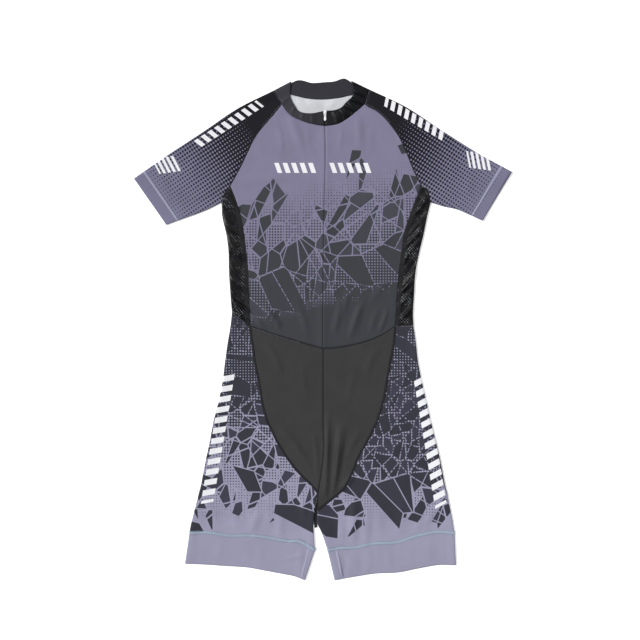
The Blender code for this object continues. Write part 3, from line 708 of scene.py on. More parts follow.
def rise(xy):
    """Height over the floor of the front layer's outer face, at points in the plane."""
    edge = np.min([distance_to(xy, line) for line in FOLDED_EDGES], axis=0)
    height = STACK + ROLL_HEIGHT * np.exp(-((np.maximum(edge - FOLD_RADIUS, 0) / ROLL_WIDTH) ** 2))
    beside_zip = distance_to(xy, np.array([*ZIP_LINE, ZIP_TOP], float))
    height = height + ZIP_RIDGE * hump(beside_zip, ZIP_RIDGE_WIDTH)
    for crease in FOLDS:
        height = height + crease_height(xy, crease)
    size = bpy.context.scene.suit_cloth.crease
    calm = np.clip(beside_zip / ZIP_RIDGE_WIDTH, LEAST_CALM_ZIP, 1)
    calm = calm * np.clip(edge / ROLL_WIDTH, LEAST_CALM_EDGE, 1)
    for crease in CREASES:
        height = height + size * crease_height(xy, crease)
    for seed, (width, wave) in enumerate(WAVES):
        height = height + size * wave * calm * unevenness(xy, width, seed)
    sewn = np.min([distance_to(xy, line) for line in SEWN_LINES], axis=0)
    pucker = unevenness(xy, PUCKER_SIZE, PUCKER_SEED) * np.exp(-((sewn / PUCKER_REACH) ** 2))
    height = height + size * PUCKER_HEIGHT * calm * pucker
    # The troughs stay clear of the back layer
    return LEAST_RISE + TROUGH_SOFTNESS * np.logaddexp(0, (height - LEAST_RISE) / TROUGH_SOFTNESS)


def floor_rise(xy):
    """Height over the floor of the back layer's outer face, which lies nearly flat on it."""
    wave = sum(share * unevenness(xy, size, BACK_SEED + k) for k, (size, share) in enumerate(BACK_WAVES))
    size = bpy.context.scene.suit_cloth.crease
    wrinkles = [np.maximum(crease_height(xy, crease), 0) for crease in NECK_CREASES]
    return BACK_WAVE * np.clip(wave, 0, 1) + size * np.sum(wrinkles, axis=0)


def lifted(xy, z):
    """Points in space from points in the plane and their heights."""
    return np.concatenate([xy, np.broadcast_to(z, xy.shape[:-1])[..., None]], axis=-1)


def side_lines(side, fine):
    """The cutting lines of one half of the suit, as points in the plane."""
    seam, fold = side + "_seam", side + "_fold"
    raglan = run([(getattr(p, side), p.y) for p in RAGLAN], RAGLAN_STEPS * fine)
    raised = np.linspace(0, 1, len(raglan)) ** 2 * BACK_NECK_RISE
    shoulder = run([s[:2] for s in SLEEVE[side]], SLEEVE_STEPS * fine)
    under = run([s[2:] for s in SLEEVE[side]], SLEEVE_STEPS * fine)
    collar, band = COLLAR_FRONT[side], LEG_BAND[side]
    crotch = CROTCH_Y[side]
    leg_rows = (HIP_STEPS + ACROSS_FRONT + INSEAM_STEPS) * fine
    return {
        "raglan": raglan,
        "raglan_back": raglan + np.column_stack([np.zeros(len(raglan)), raised]),
        "neckline": run([section[:2] for section in collar[:-1]][::-1], NECK_STEPS * fine),
        "shoulder": shoulder,
        "under": under,
        "armpit": split(np.array([raglan[0], ARMPIT_CORNER[side], under[0]], float), fine),
        "side_seam": run(body_line(seam, WAIST_Y, ARMPIT_Y), TORSO_STEPS * fine),
        "side_fold": run(body_line(fold, WAIST_FOLD_Y[side], UNDERARM_Y), TORSO_STEPS * fine),
        "waist": run(WAIST[side], ACROSS_FRONT * fine),
        "centre_seam": run(CENTRE_SEAM[side], HIP_STEPS * fine),
        "hip_seam": run(body_line(seam, WAIST_Y, HIP_Y), HIP_STEPS * fine),
        "thigh_seam": run(body_line(seam, HIP_Y, crotch), ACROSS_FRONT * fine),
        "inseam": run(body_line(seam, crotch, BAND_SEAM_Y), INSEAM_STEPS * fine),
        "leg_fold": run(body_line(fold, WAIST_FOLD_Y[side], BAND_FOLD_Y), leg_rows),
        "band_seam": run([section[:2] for section in band], LEG_STEPS * fine),
        "hem": run([section[2:] for section in band], LEG_STEPS * fine),
        "collar_edge": smooth_line([section[2:] for section in collar]),
    }


class Cloth(NamedTuple):
    """A piece of cloth: points of its outer face in mm, rows x columns x 3, and the first and last column of
    its front layer. closed is for a tube, whose last column is its first again. face_down is for the back."""

    points: np.ndarray
    first: int
    last: int
    closed: bool = False
    face_down: bool = False


def flat_front(grid, lift=0.0):
    return Cloth(lifted(grid, rise(grid) + lift), 0, grid.shape[1] - 1)


def flat_back(grid):
    return Cloth(lifted(grid, floor_rise(grid)), 0, grid.shape[1] - 1, face_down=True)


def fold_turn(front, back, at, beside, lift=0.0):
    """The points round a folded edge, from the front layer to the back one, rows x steps x 3, and the grids
    of the two layers drawn in to where the turn starts. at and beside are the edge's column and the next."""
    edge = front[:, at]
    radius = (rise(edge) + lift) / 2
    front_way, back_way = leading(edge, front[:, beside]), leading(edge, back[:, beside])
    steps = []
    for angle in FOLD_ANGLES:
        share = (1 - math.cos(angle)) / 2
        depth = (radius * (1 - math.sin(angle)))[:, None]
        way = (1 - share) * front_way + share * back_way
        steps.append(lifted(edge + depth * way, radius * (1 + math.cos(angle))))
    inset = {"start" if at == 0 else "end": radius}
    return np.stack(steps, axis=1), pull_back(front, **inset), pull_back(back, **inset)


def lip(edge, inside, turn, on_front):
    """The points of an inseam edge, from the flat cloth to the edge, rows x steps x 3, and how far the turn
    reaches in. turn is 0 for a flat edge, and 1 where front and back bend to meet halfway up."""
    top = rise(edge)
    radius = top / 2 - HALF_GAP
    bend = np.maximum(turn, 1e-3)
    way = leading(edge, inside)
    steps = []
    for angle in LIP_ANGLES:
        depth = radius * (np.sin(bend * math.pi / 2) - np.sin(bend * angle)) / bend
        drop = radius * (1 - np.cos(bend * angle)) / bend
        steps.append(lifted(edge + depth[:, None] * way, top - drop if on_front else drop))
    return np.stack(steps, axis=1), radius * np.sin(bend * math.pi / 2) / bend


def wrapped(front, back, lift=0.0, turn=None):
    """A piece that turns round the folded edge at the end of each row. With turn, the edges at the start of
    the rows are inseam lips."""
    arc, front, back = fold_turn(front, back, -1, -2, lift)
    if turn is not None:
        front_lip, inset = lip(front[:, 0], front[:, 1], turn, True)
        back_lip = lip(back[:, 0], back[:, 1], turn, False)[0]
        front, back = pull_back(front, start=inset), pull_back(back, start=inset)
    front_run = lifted(front, rise(front) + lift)[:, :-1]
    back_run = lifted(back, floor_rise(back))[:, :-1][:, ::-1]
    if turn is None:
        return Cloth(np.concatenate([front_run, arc, back_run], axis=1), 0, front_run.shape[1])
    points = np.concatenate([front_lip[:, ::-1], front_run[:, 1:], arc, back_run[:, :-1], back_lip], axis=1)
    first = front_lip.shape[1] - 1
    return Cloth(points, first, first + front_run.shape[1])


def tube(front, back):
    """A flattened tube with a folded edge at both ends of each row. It starts and ends halfway round the
    last one."""
    first, front, back = fold_turn(front, back, 0, 1)
    last, front, back = fold_turn(front, back, -1, -2)
    half = len(FOLD_ANGLES) // 2
    front_run = lifted(front, rise(front))[:, 1:-1][:, ::-1]
    back_run = lifted(back, floor_rise(back))[:, 1:-1]
    points = [last[:, : half + 1][:, ::-1], front_run, first, back_run, last[:, half:][:, ::-1]]
    return Cloth(np.concatenate(points, axis=1), half, half + front_run.shape[1] + 1, closed=True)


def change(points, axis, closed=False):
    """How points change along one axis, also across the join where they close there."""
    if not closed:
        return np.gradient(points, axis=axis)
    ring = np.concatenate([points.take([-2], axis), points, points.take([1], axis)], axis)
    return np.gradient(ring, axis=axis).take(range(1, ring.shape[axis] - 1), axis)


def unit_cross(one, two):
    normal = np.cross(one, two)
    return normal / np.maximum(np.linalg.norm(normal, axis=-1), 1e-9)[..., None]


def outward_normals(cloth):
    """Unit normals of a piece of cloth that point away from its inner side."""
    normal = unit_cross(change(cloth.points, 1, cloth.closed), change(cloth.points, 0))
    middle = normal[normal.shape[0] // 2, (cloth.first + cloth.last) // 2, 2]
    wanted = -1 if cloth.face_down else 1
    return normal if middle * wanted > 0 else -normal


def print_map(cloth):
    """The print's own coordinates in mm: the plan's in the front layer, rolled on past each folded edge."""
    points, first, last = cloth.points, cloth.first, cloth.last
    chart = points[..., :2].copy()
    for edge, beside, columns in (
        (last, last - 1, range(last + 1, points.shape[1])),
        (first, first + 1, range(first - 1, -1, -1)),
    ):
        way = points[:, edge, :2] - points[:, beside, :2]
        way /= np.maximum(np.linalg.norm(way, axis=1), 1e-6)[:, None]
        gone = np.zeros(points.shape[0])
        before = edge
        for column in columns:
            gone = gone + np.linalg.norm(points[:, column] - points[:, before], axis=1)
            chart[:, column] = points[:, edge, :2] + gone[:, None] * way
            before = column
    return chart


def mesh_of(name, shape, smooth=True):
    """A mesh made of a bmesh, which is used up."""
    mesh = bpy.data.meshes.new(name)
    shape.to_mesh(mesh)
    shape.free()
    if smooth:
        mesh.shade_smooth()
    return mesh


def grid_mesh(name, points, chart=None, closed=False, wanted=None):
    """A mesh on a grid of points in mm. wanted is a row, a column and the way that the face there looks."""
    rows, columns = points.shape[:2]
    shape = bmesh.new()
    bmesh.ops.create_grid(shape, x_segments=columns - 1, y_segments=rows - 1, size=1)
    for vert, point in zip(shape.verts, points.reshape(-1, 3) * MM):
        vert.co = point
    if chart is not None:
        layer = shape.loops.layers.uv.new("UVMap")
        flat = chart.reshape(-1, 2) * MM
        for face in shape.faces:
            for loop in face.loops:
                loop[layer].uv = flat[loop.vert.index]
    shape.faces.ensure_lookup_table()
    if wanted is not None:
        row, column, normal = wanted
        face = shape.faces[min(row, rows - 2) * (columns - 1) + min(column, columns - 2)]
        face.normal_update()
        if face.normal.dot(normal) < 0:
            bmesh.ops.reverse_faces(shape, faces=shape.faces)
    if closed:
        bmesh.ops.remove_doubles(shape, verts=shape.verts, dist=SAME_POINT)
    return mesh_of(name, shape)


def collection():
    found = bpy.data.collections.get("speed_skating_suit")
    if found is None:
        found = bpy.data.collections.new("speed_skating_suit")
        bpy.context.scene.collection.children.link(found)
    return found


def add_piece(name, mesh, materials, body=BODY_NAME):
    obj = bpy.data.objects.new(name, mesh)
    for material in materials:
        obj.data.materials.append(material)
    collection().objects.link(obj)
    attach(obj, body)
    return obj


def add_wall(obj, wall):
    """Gives a face its thickness in mm, grown inwards, with its last material on the inner side."""
    thicken = obj.modifiers.new("wall", "SOLIDIFY")
    thicken.thickness = wall * MM
    thicken.offset = -1
    thicken.material_offset = len(obj.data.materials) - 1


def add_cloth(node, cloth, wall=WALL):
    """A shell of cloth in place of a solid, with its wall grown inwards from the outer face."""
    name = node + "_cloth"
    normal = outward_normals(cloth)
    row, column = cloth.points.shape[0] // 2, (cloth.first + cloth.last) // 2
    chart = print_map(cloth)
    wanted = (row, column, normal[row, column])
    mesh = grid_mesh(name, cloth.points, chart, cloth.closed, wanted)
    obj = add_piece(name, mesh, materials_of(node))
    add_wall(obj, wall)
    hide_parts(node)
    return obj


# Index of the sockets of a colour Mix node
MIX_FACTOR, MIX_A, MIX_B, MIX_RESULT = 0, 6, 7, 2
# Fine forms of cloth and thread, in metres
KNIT_STITCH = (0.0011, 0.0009)
KNIT_STRENGTH = 0.35
COCKLE_SIZE = 0.006
COCKLE_DEPTH = 0.0004
COCKLE_STRENGTH = 0.25
SHADE_SIZE = 0.05
NET_HOLE = (0.0046, 0.0038)
NET_ANGLE = 38
# Sizes of the patches and specks of painted highlight on the mesh
HIGHLIGHT_PATCH_SIZE = 0.024
HIGHLIGHT_SPECK_SIZE = 0.005
ELASTIC_RIB = (0.0022, 0.0013)
TWIST = (0.0006, 0.0006)
SEAM_WEAVE = (0.0012, 0.0012)
LIGHTER_THREAD = (1.6, 1.6, 1.6, 1)


class Finish:
    """A material whose nodes are added one by one."""

    def __init__(self, name, roughness, gloss=0.2, sheen=0.0, coat=0.0):
        self.material = bpy.data.materials.new(name)
        self.material.use_nodes = True
        self.nodes = self.material.node_tree.nodes
        self.links = self.material.node_tree.links
        self.shader = self.nodes["Principled BSDF"]
        self.shader.inputs["Roughness"].default_value = roughness
        self.shader.inputs["Specular IOR Level"].default_value = gloss
        self.shader.inputs["Sheen Weight"].default_value = sheen
        self.shader.inputs["Sheen Roughness"].default_value = 0.45
        self.shader.inputs["Coat Weight"].default_value = coat

    def feed(self, socket, value):
        if isinstance(value, bpy.types.NodeSocket):
            self.links.new(value, socket)
        else:
            socket.default_value = value

    def node(self, kind, inputs=None, **settings):
        node = self.nodes.new(kind)
        for key, value in settings.items():
            setattr(node, key, value)
        for key, value in (inputs or {}).items():
            self.feed(node.inputs[key], value)
        return node

    def math(self, operation, *values):
        return self.node("ShaderNodeMath", dict(enumerate(values)), operation=operation).outputs[0]

    def plus(self, one, two):
        return self.math("ADD", one, two)

    def minus(self, one, two):
        return self.math("SUBTRACT", one, two)

    def times(self, one, two):
        return self.math("MULTIPLY", one, two)

    def between(self, factor, one, two):
        """one where the factor is 0, and two where it is 1."""
        return self.plus(one, self.times(factor, self.minus(two, one)))

    def mix(self, factor, one, two, blend="MIX"):
        inputs = {MIX_FACTOR: factor, MIX_A: one, MIX_B: two}
        node = self.node("ShaderNodeMix", inputs, data_type="RGBA", blend_type=blend)
        return node.outputs[MIX_RESULT]

    def ramp(self, value, low, high):
        """0 below low and 1 above high, soft between."""
        inputs = {"Value": value, "From Min": low, "From Max": high}
        return self.node("ShaderNodeMapRange", inputs, interpolation_type="SMOOTHSTEP").outputs["Result"]

    def chart(self):
        return self.node("ShaderNodeUVMap", uv_map="UVMap").outputs["UV"]

    def place(self):
        return self.node("ShaderNodeTexCoord").outputs["Object"]

    def moved(self, vector, x=0.0, y=0.0, angle=0.0, step=(1.0, 1.0)):
        """The vector seen from (x, y) along a direction turned by angle, counted in steps of these sizes."""
        inputs = {"Vector": vector, "Location": (x, y, 0), "Rotation": (0, 0, angle)}
        turned = self.node("ShaderNodeMapping", inputs, vector_type="TEXTURE").outputs[0]
        scale = (1 / step[0], 1 / step[1], 1)
        return self.node("ShaderNodeVectorMath", {0: turned, 1: scale}, operation="MULTIPLY").outputs[0]

    def parts(self, vector):
        outputs = self.node("ShaderNodeSeparateXYZ", {"Vector": vector}).outputs
        return outputs["X"], outputs["Y"]

    def wave(self, value):
        """The cosine of a value counted in turns."""
        return self.math("COSINE", self.times(value, 2 * math.pi))

    def noise(self, vector, size, detail=2.0):
        inputs = {"Vector": vector, "Scale": 1 / size, "Detail": detail}
        return self.node("ShaderNodeTexNoise", inputs).outputs["Fac"]

    def cells(self, vector, feature):
        inputs = {"Vector": vector, "Scale": 1.0, "Randomness": 1.0}
        return self.node("ShaderNodeTexVoronoi", inputs, voronoi_dimensions="2D", feature=feature).outputs

    def dot(self, one, two):
        return self.node("ShaderNodeVectorMath", {0: one, 1: two}, operation="DOT_PRODUCT").outputs["Value"]

    def lattice(self, vector):
        """1 at whole numbers of both coordinates, and -1 halfway between."""
        x, y = self.parts(vector)
        return self.times(self.plus(self.wave(x), self.wave(y)), 0.5)

    def bump(self, height, distance, strength=1.0):
        inputs = {"Strength": strength, "Distance": distance, "Height": height}
        if self.shader.inputs["Normal"].links:
            inputs["Normal"] = self.shader.inputs["Normal"].links[0].from_socket
        node = self.node("ShaderNodeBump", inputs)
        self.feed(self.shader.inputs["Normal"], node.outputs["Normal"])

    def knit(self, vector, depth=0.00012):
        """Fine knit: V-shaped stitches in columns, and a soft unevenness over them."""
        x, y = self.parts(self.moved(vector, step=KNIT_STITCH))
        slant = self.math("ABSOLUTE", self.minus(self.math("FRACT", x), 0.5))
        stitch = self.plus(self.wave(self.plus(y, slant)), self.wave(x))
        self.bump(stitch, depth, KNIT_STRENGTH)
        self.bump(self.noise(vector, COCKLE_SIZE), COCKLE_DEPTH, COCKLE_STRENGTH)

    def finish(self, tint):
        self.feed(self.shader.inputs["Base Color"], tint)
        return self.material

    def shaded(self, tint, vector, amount=0.12):
        """The tint with slow changes of shade, as dyed cloth has."""
        drift = self.ramp(self.noise(vector, SHADE_SIZE, 3.0), 0.3, 0.7)
        darker = self.mix(1.0, tint, (1 - amount, 1 - amount, 1 - amount, 1), "MULTIPLY")
        return self.mix(drift, darker, tint)


class DashRow(NamedTuple):
    """A printed row of slanting dashes: its middle in mm, its direction in degrees, and its sizes in mm."""

    x: float
    y: float
    angle: float
    length: float
    height: float
    pitch: float


DASH_SHARE = 0.56
DASH_SLANT = 0.35
DASH_WHITE = linear(226, 226, 230)
DASHES = {
    "front_right": [DashRow(-52, 324, 0, 84, 20, 17)],
    "front_left": [DashRow(58, 324, 0, 84, 20, 17)],
    "sleeve_right": [DashRow(-190, 411, 33, 154, 18, 16), DashRow(-312, 330, 8, 46, 32, 10)],
    "sleeve_left": [DashRow(184, 421, -31, 140, 18, 16), DashRow(312, 338, -8, 46, 32, 10)],
    "short_side_right": [DashRow(-210, -216, 80.5, 262, 24, 21)],
    "short_side_left": [DashRow(214, -222, 99.5, 262, 24, 21)],
}


def dash_mask(finish, chart, row):
    """1 on the dashes of a row."""
    x, y = finish.parts(finish.moved(chart, row.x * MM, row.y * MM, math.radians(row.angle)))
    along = finish.plus(x, finish.times(y, DASH_SLANT))
    beat = finish.math("FRACT", finish.plus(finish.math("DIVIDE", along, row.pitch * MM), 0.5))
    on = finish.math("LESS_THAN", beat, DASH_SHARE)
    for value, size in ((along, row.length), (y, row.height)):
        within = finish.math("LESS_THAN", finish.math("ABSOLUTE", value), size * MM / 2)
        on = finish.times(on, within)
    return on


def opaque(values):
    return (*values, 1.0)


class Print(NamedTuple):
    """Where the ink of a print lies. way is a point in mm and a direction in degrees. Each step of dots and
    of patches is the share of ink that is gained between two distances from the point along it. shift is how
    far the steps stray, facet the size of the patches beside the usual one, and place where in their layout
    the piece was cut, in metres."""

    way: tuple
    dots: tuple
    patches: tuple = ()
    shift: float = 0.0
    screen_angle: float = 0.0
    facet: float = 1.0
    place: tuple = (0.0, 0.0)


SLEEVE_DOTS = ((224, 165, 0.3), (180, 70, 0.22), (90, 0, 0.26), (20, -50, 0.24))
RIGHT_LEG_DOTS = ((-405, -340, 0.2), (-340, -200, 0.34), (-220, -120, 0.26), (-20, 50, 0.2))
LEFT_LEG_DOTS = ((-405, -340, 0.22), (-345, -270, 0.52), (-230, -140, 0.06), (-20, 50, 0.2))
RIGHT_LEG_PATCHES = ((-412, -352, 0.56), (-250, -170, 0.3), (-150, -70, -0.36))
LEFT_LEG_PATCHES = ((-416, -362, 0.74), (-330, -270, 0.26), (-150, -70, -0.36))
FRONT_DOTS = ((320, 200, 0.42), (210, 70, 0.32), (76, 22, 0.3))
FRONT_PATCHES = ((372, 290, 0.22), (300, 190, 0.38), (80, 36, 0.3))
PRINTS = {
    "front": Print((0, 0, 103), FRONT_DOTS, FRONT_PATCHES, 40),
    "short_side_right": Print(
        (0, 0, 90), RIGHT_LEG_DOTS, RIGHT_LEG_PATCHES, 26, facet=0.8, place=(0.31, 0.12)
    ),
    "short_side_left": Print(
        (0, 0, 90), LEFT_LEG_DOTS, LEFT_LEG_PATCHES, 26, facet=0.8, place=(0.05, 0.43)
    ),
    "sleeve_right": Print((-150, 367, 213.5), SLEEVE_DOTS, screen_angle=33),
    "sleeve_left": Print((153, 368, -33), SLEEVE_DOTS, screen_angle=-33),
}


def gained(finish, along, steps):
    """The share of ink at a distance along a print's way."""
    total = 0.0
    for start, end, share in steps:
        step = finish.times(finish.ramp(along, start * MM, end * MM), share)
        total = finish.plus(total, step)
    return total


# Patches: how the large and the small ones are turned and stretched, how large the small ones are beside the
# others, the share of large ones left whole, and how much the second half of a patch differs by chance
LARGE_PATCHES = (0.9, 0.62)
SMALL_PATCHES = (-0.5, 0.5)
SMALL_SIZE = 0.6
WHOLE_SHARE = 0.3
HALF_CHANCE = 0.43
# Pale lines between patches, from their middle to where they end, in metres
LINE_FADE = (0.0007, 0.0012)
# Ink of the palest patches beside the usual one
PALER_INK = (1.42, 1.36, 1.5, 1)
# How softly the dots end, and how far their ink reaches past none and past full
DOT_SOFTNESS = 0.05
DOT_RANGE = 1.1
# How far the steps of a print stray: the size of the waves, in metres
STRAY_SIZE = 0.14


class Patches:
    """Irregular patches of one size, each cut in two: random shades for each, its middle's place along a way,
    and the distance from its edge in metres."""

    def __init__(self, finish, chart, design, size, angle, stretch):
        x, y = design.place
        turned = finish.moved(chart, x, y, angle, (size, size / stretch))
        cells, edges = finish.cells(turned, "F1"), finish.cells(turned, "DISTANCE_TO_EDGE")
        shades = finish.node("ShaderNodeSeparateColor", {"Color": cells["Color"]}).outputs
        middle = cells["Position"]
        way = math.radians(design.way[2])
        axis = (math.cos(way - angle) * size, math.sin(way - angle) * size / stretch, 0)
        self.along = finish.plus(finish.dot(middle, axis), x * math.cos(way) + y * math.sin(way))

        slant = finish.times(shades["Blue"], math.pi)
        inputs = {"X": finish.math("COSINE", slant), "Y": finish.math("SINE", slant)}
        across = finish.node("ShaderNodeCombineXYZ", inputs).outputs[0]
        off = finish.node("ShaderNodeVectorMath", {0: turned, 1: middle}, operation="SUBTRACT").outputs[0]
        cut = finish.dot(off, across)
        half = finish.times(finish.math("GREATER_THAN", cut, 0.0), HALF_CHANCE)
        self.one = finish.math("FRACT", finish.plus(shades["Red"], half))
        self.two = finish.math("FRACT", finish.plus(shades["Green"], half))
        edge = finish.math("MINIMUM", edges["Distance"], finish.math("ABSOLUTE", cut))
        self.edge = finish.times(edge, size)
        self.whole = shades["Red"]


def printed_finish(name, light, dark, screen, design, gloss, rows):
    """Knit with a printed screen of dots between a light ground and a dark ink, and irregular dark patches on
    it with pale lines between them."""
    cloth = bpy.context.scene.suit_cloth
    finish = Finish(name, roughness=0.6, gloss=gloss, sheen=0.03)
    chart = finish.chart()
    x, y, angle = design.way
    along = finish.parts(finish.moved(chart, x * MM, y * MM, math.radians(angle)))[0]
    drift = finish.minus(finish.noise(chart, STRAY_SIZE, 1.0), 0.5)
    along = finish.plus(along, finish.times(drift, design.shift * MM))
    level = gained(finish, along, design.dots)
    dots = finish.lattice(finish.moved(chart, angle=math.radians(design.screen_angle), step=screen))
    printed = finish.plus(dots, finish.minus(finish.times(level, 2 * DOT_RANGE), DOT_RANGE))
    covered = finish.ramp(printed, -DOT_SOFTNESS, DOT_SOFTNESS)
    ground = finish.shaded(opaque(light), chart, 0.07)
    ink = opaque(dark)
    if design.patches:
        size = cloth.facet * design.facet
        large = Patches(finish, chart, design, size, *LARGE_PATCHES)
        small = Patches(finish, chart, design, size * SMALL_SIZE, *SMALL_PATCHES)
        divided = finish.math("GREATER_THAN", large.whole, WHOLE_SHARE)
        chance = finish.between(divided, large.two, small.two)
        middle = finish.between(divided, large.along, small.along)
        edge = finish.math("MINIMUM", large.edge, finish.between(divided, 1.0, small.edge))
        share = gained(finish, middle, design.patches)
        filled = finish.math("LESS_THAN", chance, share)
        covered = finish.math("MAXIMUM", covered, filled)
        paler = finish.mix(1.0, ink, PALER_INK, "MULTIPLY")
        shade = finish.between(divided, large.one, small.one)
        shade = finish.times(finish.ramp(shade, 0.5, 0.9), finish.ramp(level, 1.0, 0.85))
        ink = finish.mix(shade, ink, paler)
        line = finish.minus(1.0, finish.ramp(edge, *LINE_FADE))
        held = {"Value": level, "From Min": 0.5, "From Max": 0.98, "To Min": 1.1, "To Max": -1.0}
        limit = finish.node("ShaderNodeMapRange", held).outputs["Result"]
        line = finish.times(line, finish.math("LESS_THAN", dots, limit))
        covered = finish.times(covered, finish.minus(1.0, line))
    tint = finish.mix(covered, ground, ink)
    for row in rows:
        tint = finish.mix(dash_mask(finish, chart, row), tint, opaque(DASH_WHITE))
    finish.knit(chart)
    return finish.finish(tint)


def plain_finish(name, tint, roughness=0.66):
    """Dyed knit in one colour."""
    finish = Finish(name, roughness, sheen=0.04)
    chart = finish.chart()
    finish.knit(chart)
    return finish.finish(finish.shaded(opaque(tint), chart))


# From where to where the collar turns from its painted lit colour at the right to its painted shaded colour
# at the left, in metres
COLLAR_LIGHT_TO_SHADE = (-0.075, 0.05)


def collar_finish_painted_light(name, right, left):
    """Matt knit with painted light: paler towards the right shoulder, and painted shade towards the left."""
    finish = Finish(name, roughness=0.36, gloss=0.14, sheen=0.04)
    chart = finish.chart()
    # Painted light and shade across the collar: lighter at the right, darker at the left
    tint = finish.mix(finish.ramp(finish.parts(chart)[0], *COLLAR_LIGHT_TO_SHADE), opaque(right), opaque(left))
    finish.knit(chart, depth=0.00005)
    return finish.finish(finish.shaded(tint, chart))


def mesh_finish(name, dark, light):
    """Open mesh: a net of dark threads, with painted highlights where they would catch the light, in rows and
    patches.
    """
    finish = Finish(name, roughness=0.32, gloss=0.22)
    chart = finish.chart()
    net = finish.lattice(finish.moved(chart, angle=math.radians(NET_ANGLE), step=NET_HOLE))
    knots = finish.ramp(net, 0.35, 0.75)
    # Painted highlight: a lighter colour on the knots of the net, in patches and specks
    lit = finish.times(knots, finish.ramp(finish.noise(chart, HIGHLIGHT_PATCH_SIZE, 3.0), 0.46, 0.62))
    lit = finish.times(lit, finish.ramp(finish.noise(chart, HIGHLIGHT_SPECK_SIZE), 0.35, 0.62))
    tint = finish.mix(lit, opaque(dark), opaque(light))
    finish.bump(net, 0.0005, 0.2)
    finish.knit(chart, depth=0.00004)
    return finish.finish(tint)


def band_finish(name, tint):
    """Wide elastic: fine ribs along the leg and small cross ribs."""
    finish = Finish(name, roughness=0.6, sheen=0.05)
    chart = finish.chart()
    x, y = finish.parts(finish.moved(chart, step=ELASTIC_RIB))
    ribs = finish.plus(finish.wave(x), finish.times(finish.wave(y), 0.5))
    finish.bump(ribs, 0.0002, 0.5)
    finish.bump(finish.noise(chart, 0.008), 0.0005, 0.3)
    return finish.finish(finish.shaded(opaque(tint), chart, 0.05))


def thread_finish(name, tint):
    """Sewing thread, with its twist as a fine bump."""
    finish = Finish(name, roughness=0.5, gloss=0.3, sheen=0.1)
    place = finish.place()
    x, y = finish.parts(finish.moved(place, angle=math.radians(30), step=TWIST))
    finish.bump(finish.wave(finish.plus(x, y)), 0.0001, 0.5)
    return finish.finish(finish.shaded(opaque(tint), place, 0.15))


def seam_finish(name, tint):
    """A raised seam: close crossing threads over the joined edges."""
    finish = Finish(name, roughness=0.72)
    place = finish.place()
    weave = finish.lattice(finish.moved(place, angle=math.radians(45), step=SEAM_WEAVE))
    finish.bump(weave, 0.0002, 0.6)
    lighter = finish.mix(1.0, opaque(tint), LIGHTER_THREAD, "MULTIPLY")
    return finish.finish(finish.mix(finish.ramp(weave, 0.1, 0.7), opaque(tint), lighter))


def enamel_finish(name, tint):
    """White enamel on metal: smooth, with a faint orange peel and slight wear."""
    finish = Finish(name, roughness=0.28, gloss=0.5, coat=0.5)
    place = finish.place()
    finish.bump(finish.noise(place, 0.0012), 0.00003, 0.3)
    return finish.finish(finish.shaded(opaque(tint), place, 0.05))


def material(name, build, *values, **options):
    """A material by name, built the first time that it is asked for."""
    found = bpy.data.materials.get(name)
    return found if found is not None else build(name, *values, **options)


# What each seam and thread is made of, and its colour
SEWING = {
    "raised_seam": (seam_finish, "seam"),
    "dark_thread": (thread_finish, "seam"),
    "pale_thread": (thread_finish, "pale_thread"),
    "grey_thread": (thread_finish, "leg"),
    "hem_join": (seam_finish, "leg"),
    "band_join": (seam_finish, "pale_thread"),
    "zip_tape_weave": (seam_finish, "seam"),
    "zip_coil": (thread_finish, "seam"),
}


def sewing(name):
    build, tint = SEWING[name]
    return material(name, build, getattr(bpy.context.scene.suit_colours, tint))


# Ground, ink and gloss of each kind of printed piece
PRINTED = {
    "front": ("chest", "belly", 0.2),
    "back": ("chest", "belly", 0.2),
    "sleeve": ("sleeve", "sleeve_ink", 0.1),
    "short_side": ("leg", "leg_ink", 0.18),
}


def materials_of(piece):
    """The outer and inner materials of one piece of cloth, by its node's name."""
    cloth, tints = bpy.context.scene.suit_cloth, bpy.context.scene.suit_colours
    kind = piece.removesuffix("_right").removesuffix("_left")
    if kind in PRINTED:
        ground, ink, gloss = PRINTED[kind]
        colours = getattr(tints, ground), getattr(tints, ink)
        pitch = cloth.dot_pitch
        screen = (cloth.sleeve_pitch, cloth.sleeve_row) if kind == "sleeve" else (pitch, pitch)
        design, rows = PRINTS.get(piece, PRINTS["front"]), DASHES.get(piece, [])
        outer = material(piece + "_print", printed_finish, *colours, screen, design, gloss, rows)
        return [outer, material("inner_side_of_print", plain_finish, tints.inside, 0.8)]
    if kind.startswith("collar"):
        outer = material("collar_outer", collar_finish_painted_light, tints.collar, tints.collar_left_shaded)
        return [outer, material("collar_inner", plain_finish, tints.lining, 0.7)]
    if kind == "side_mesh":
        both = material("side_mesh", mesh_finish, tints.mesh, tints.mesh_light)
    elif kind == "leg_band":
        both = material("leg_band_elastic", band_finish, tints.band)
    else:
        both = material("plain_shorts", plain_finish, tints.plain)
    return [both, both]


def back_neck(both, fine):
    """The seam line between the upper back and the collar."""
    line = smooth_line([section[:2] for section in COLLAR_BACK[1:-1]])
    line[0], line[-1] = both["right"]["raglan_back"][-1], both["left"]["raglan_back"][-1]
    return spaced(line, (2 * NECK_STEPS + 1) * fine)


def front_cloth(lines, zip_line):
    top = joined(lines["raglan"], lines["neckline"])
    grid = patch(lines["waist"], top, lines["side_seam"], zip_line)
    return flat_front(pull_back(grid, HALF_GAP, HALF_GAP, HALF_GAP, FRONT_SLOT / 2))


def side_mesh_cloth(lines, fine):
    bottom = spaced([lines["side_seam"][0], lines["side_fold"][0]], SIDE_STEPS * fine)
    top = split(lines["armpit"], SIDE_STEPS // 2)
    grid = patch(bottom, top, lines["side_seam"], lines["side_fold"])
    grid = pull_back(grid, HALF_GAP, HALF_GAP, HALF_GAP)
    return wrapped(grid, grid)


def short_front_cloth(lines):
    grid = patch(lines["waist"], lines["thigh_seam"], lines["hip_seam"], lines["centre_seam"])
    return flat_front(pull_back(grid, HALF_GAP, HALF_GAP, HALF_GAP, CENTRE_SEAM_GAP / 2))


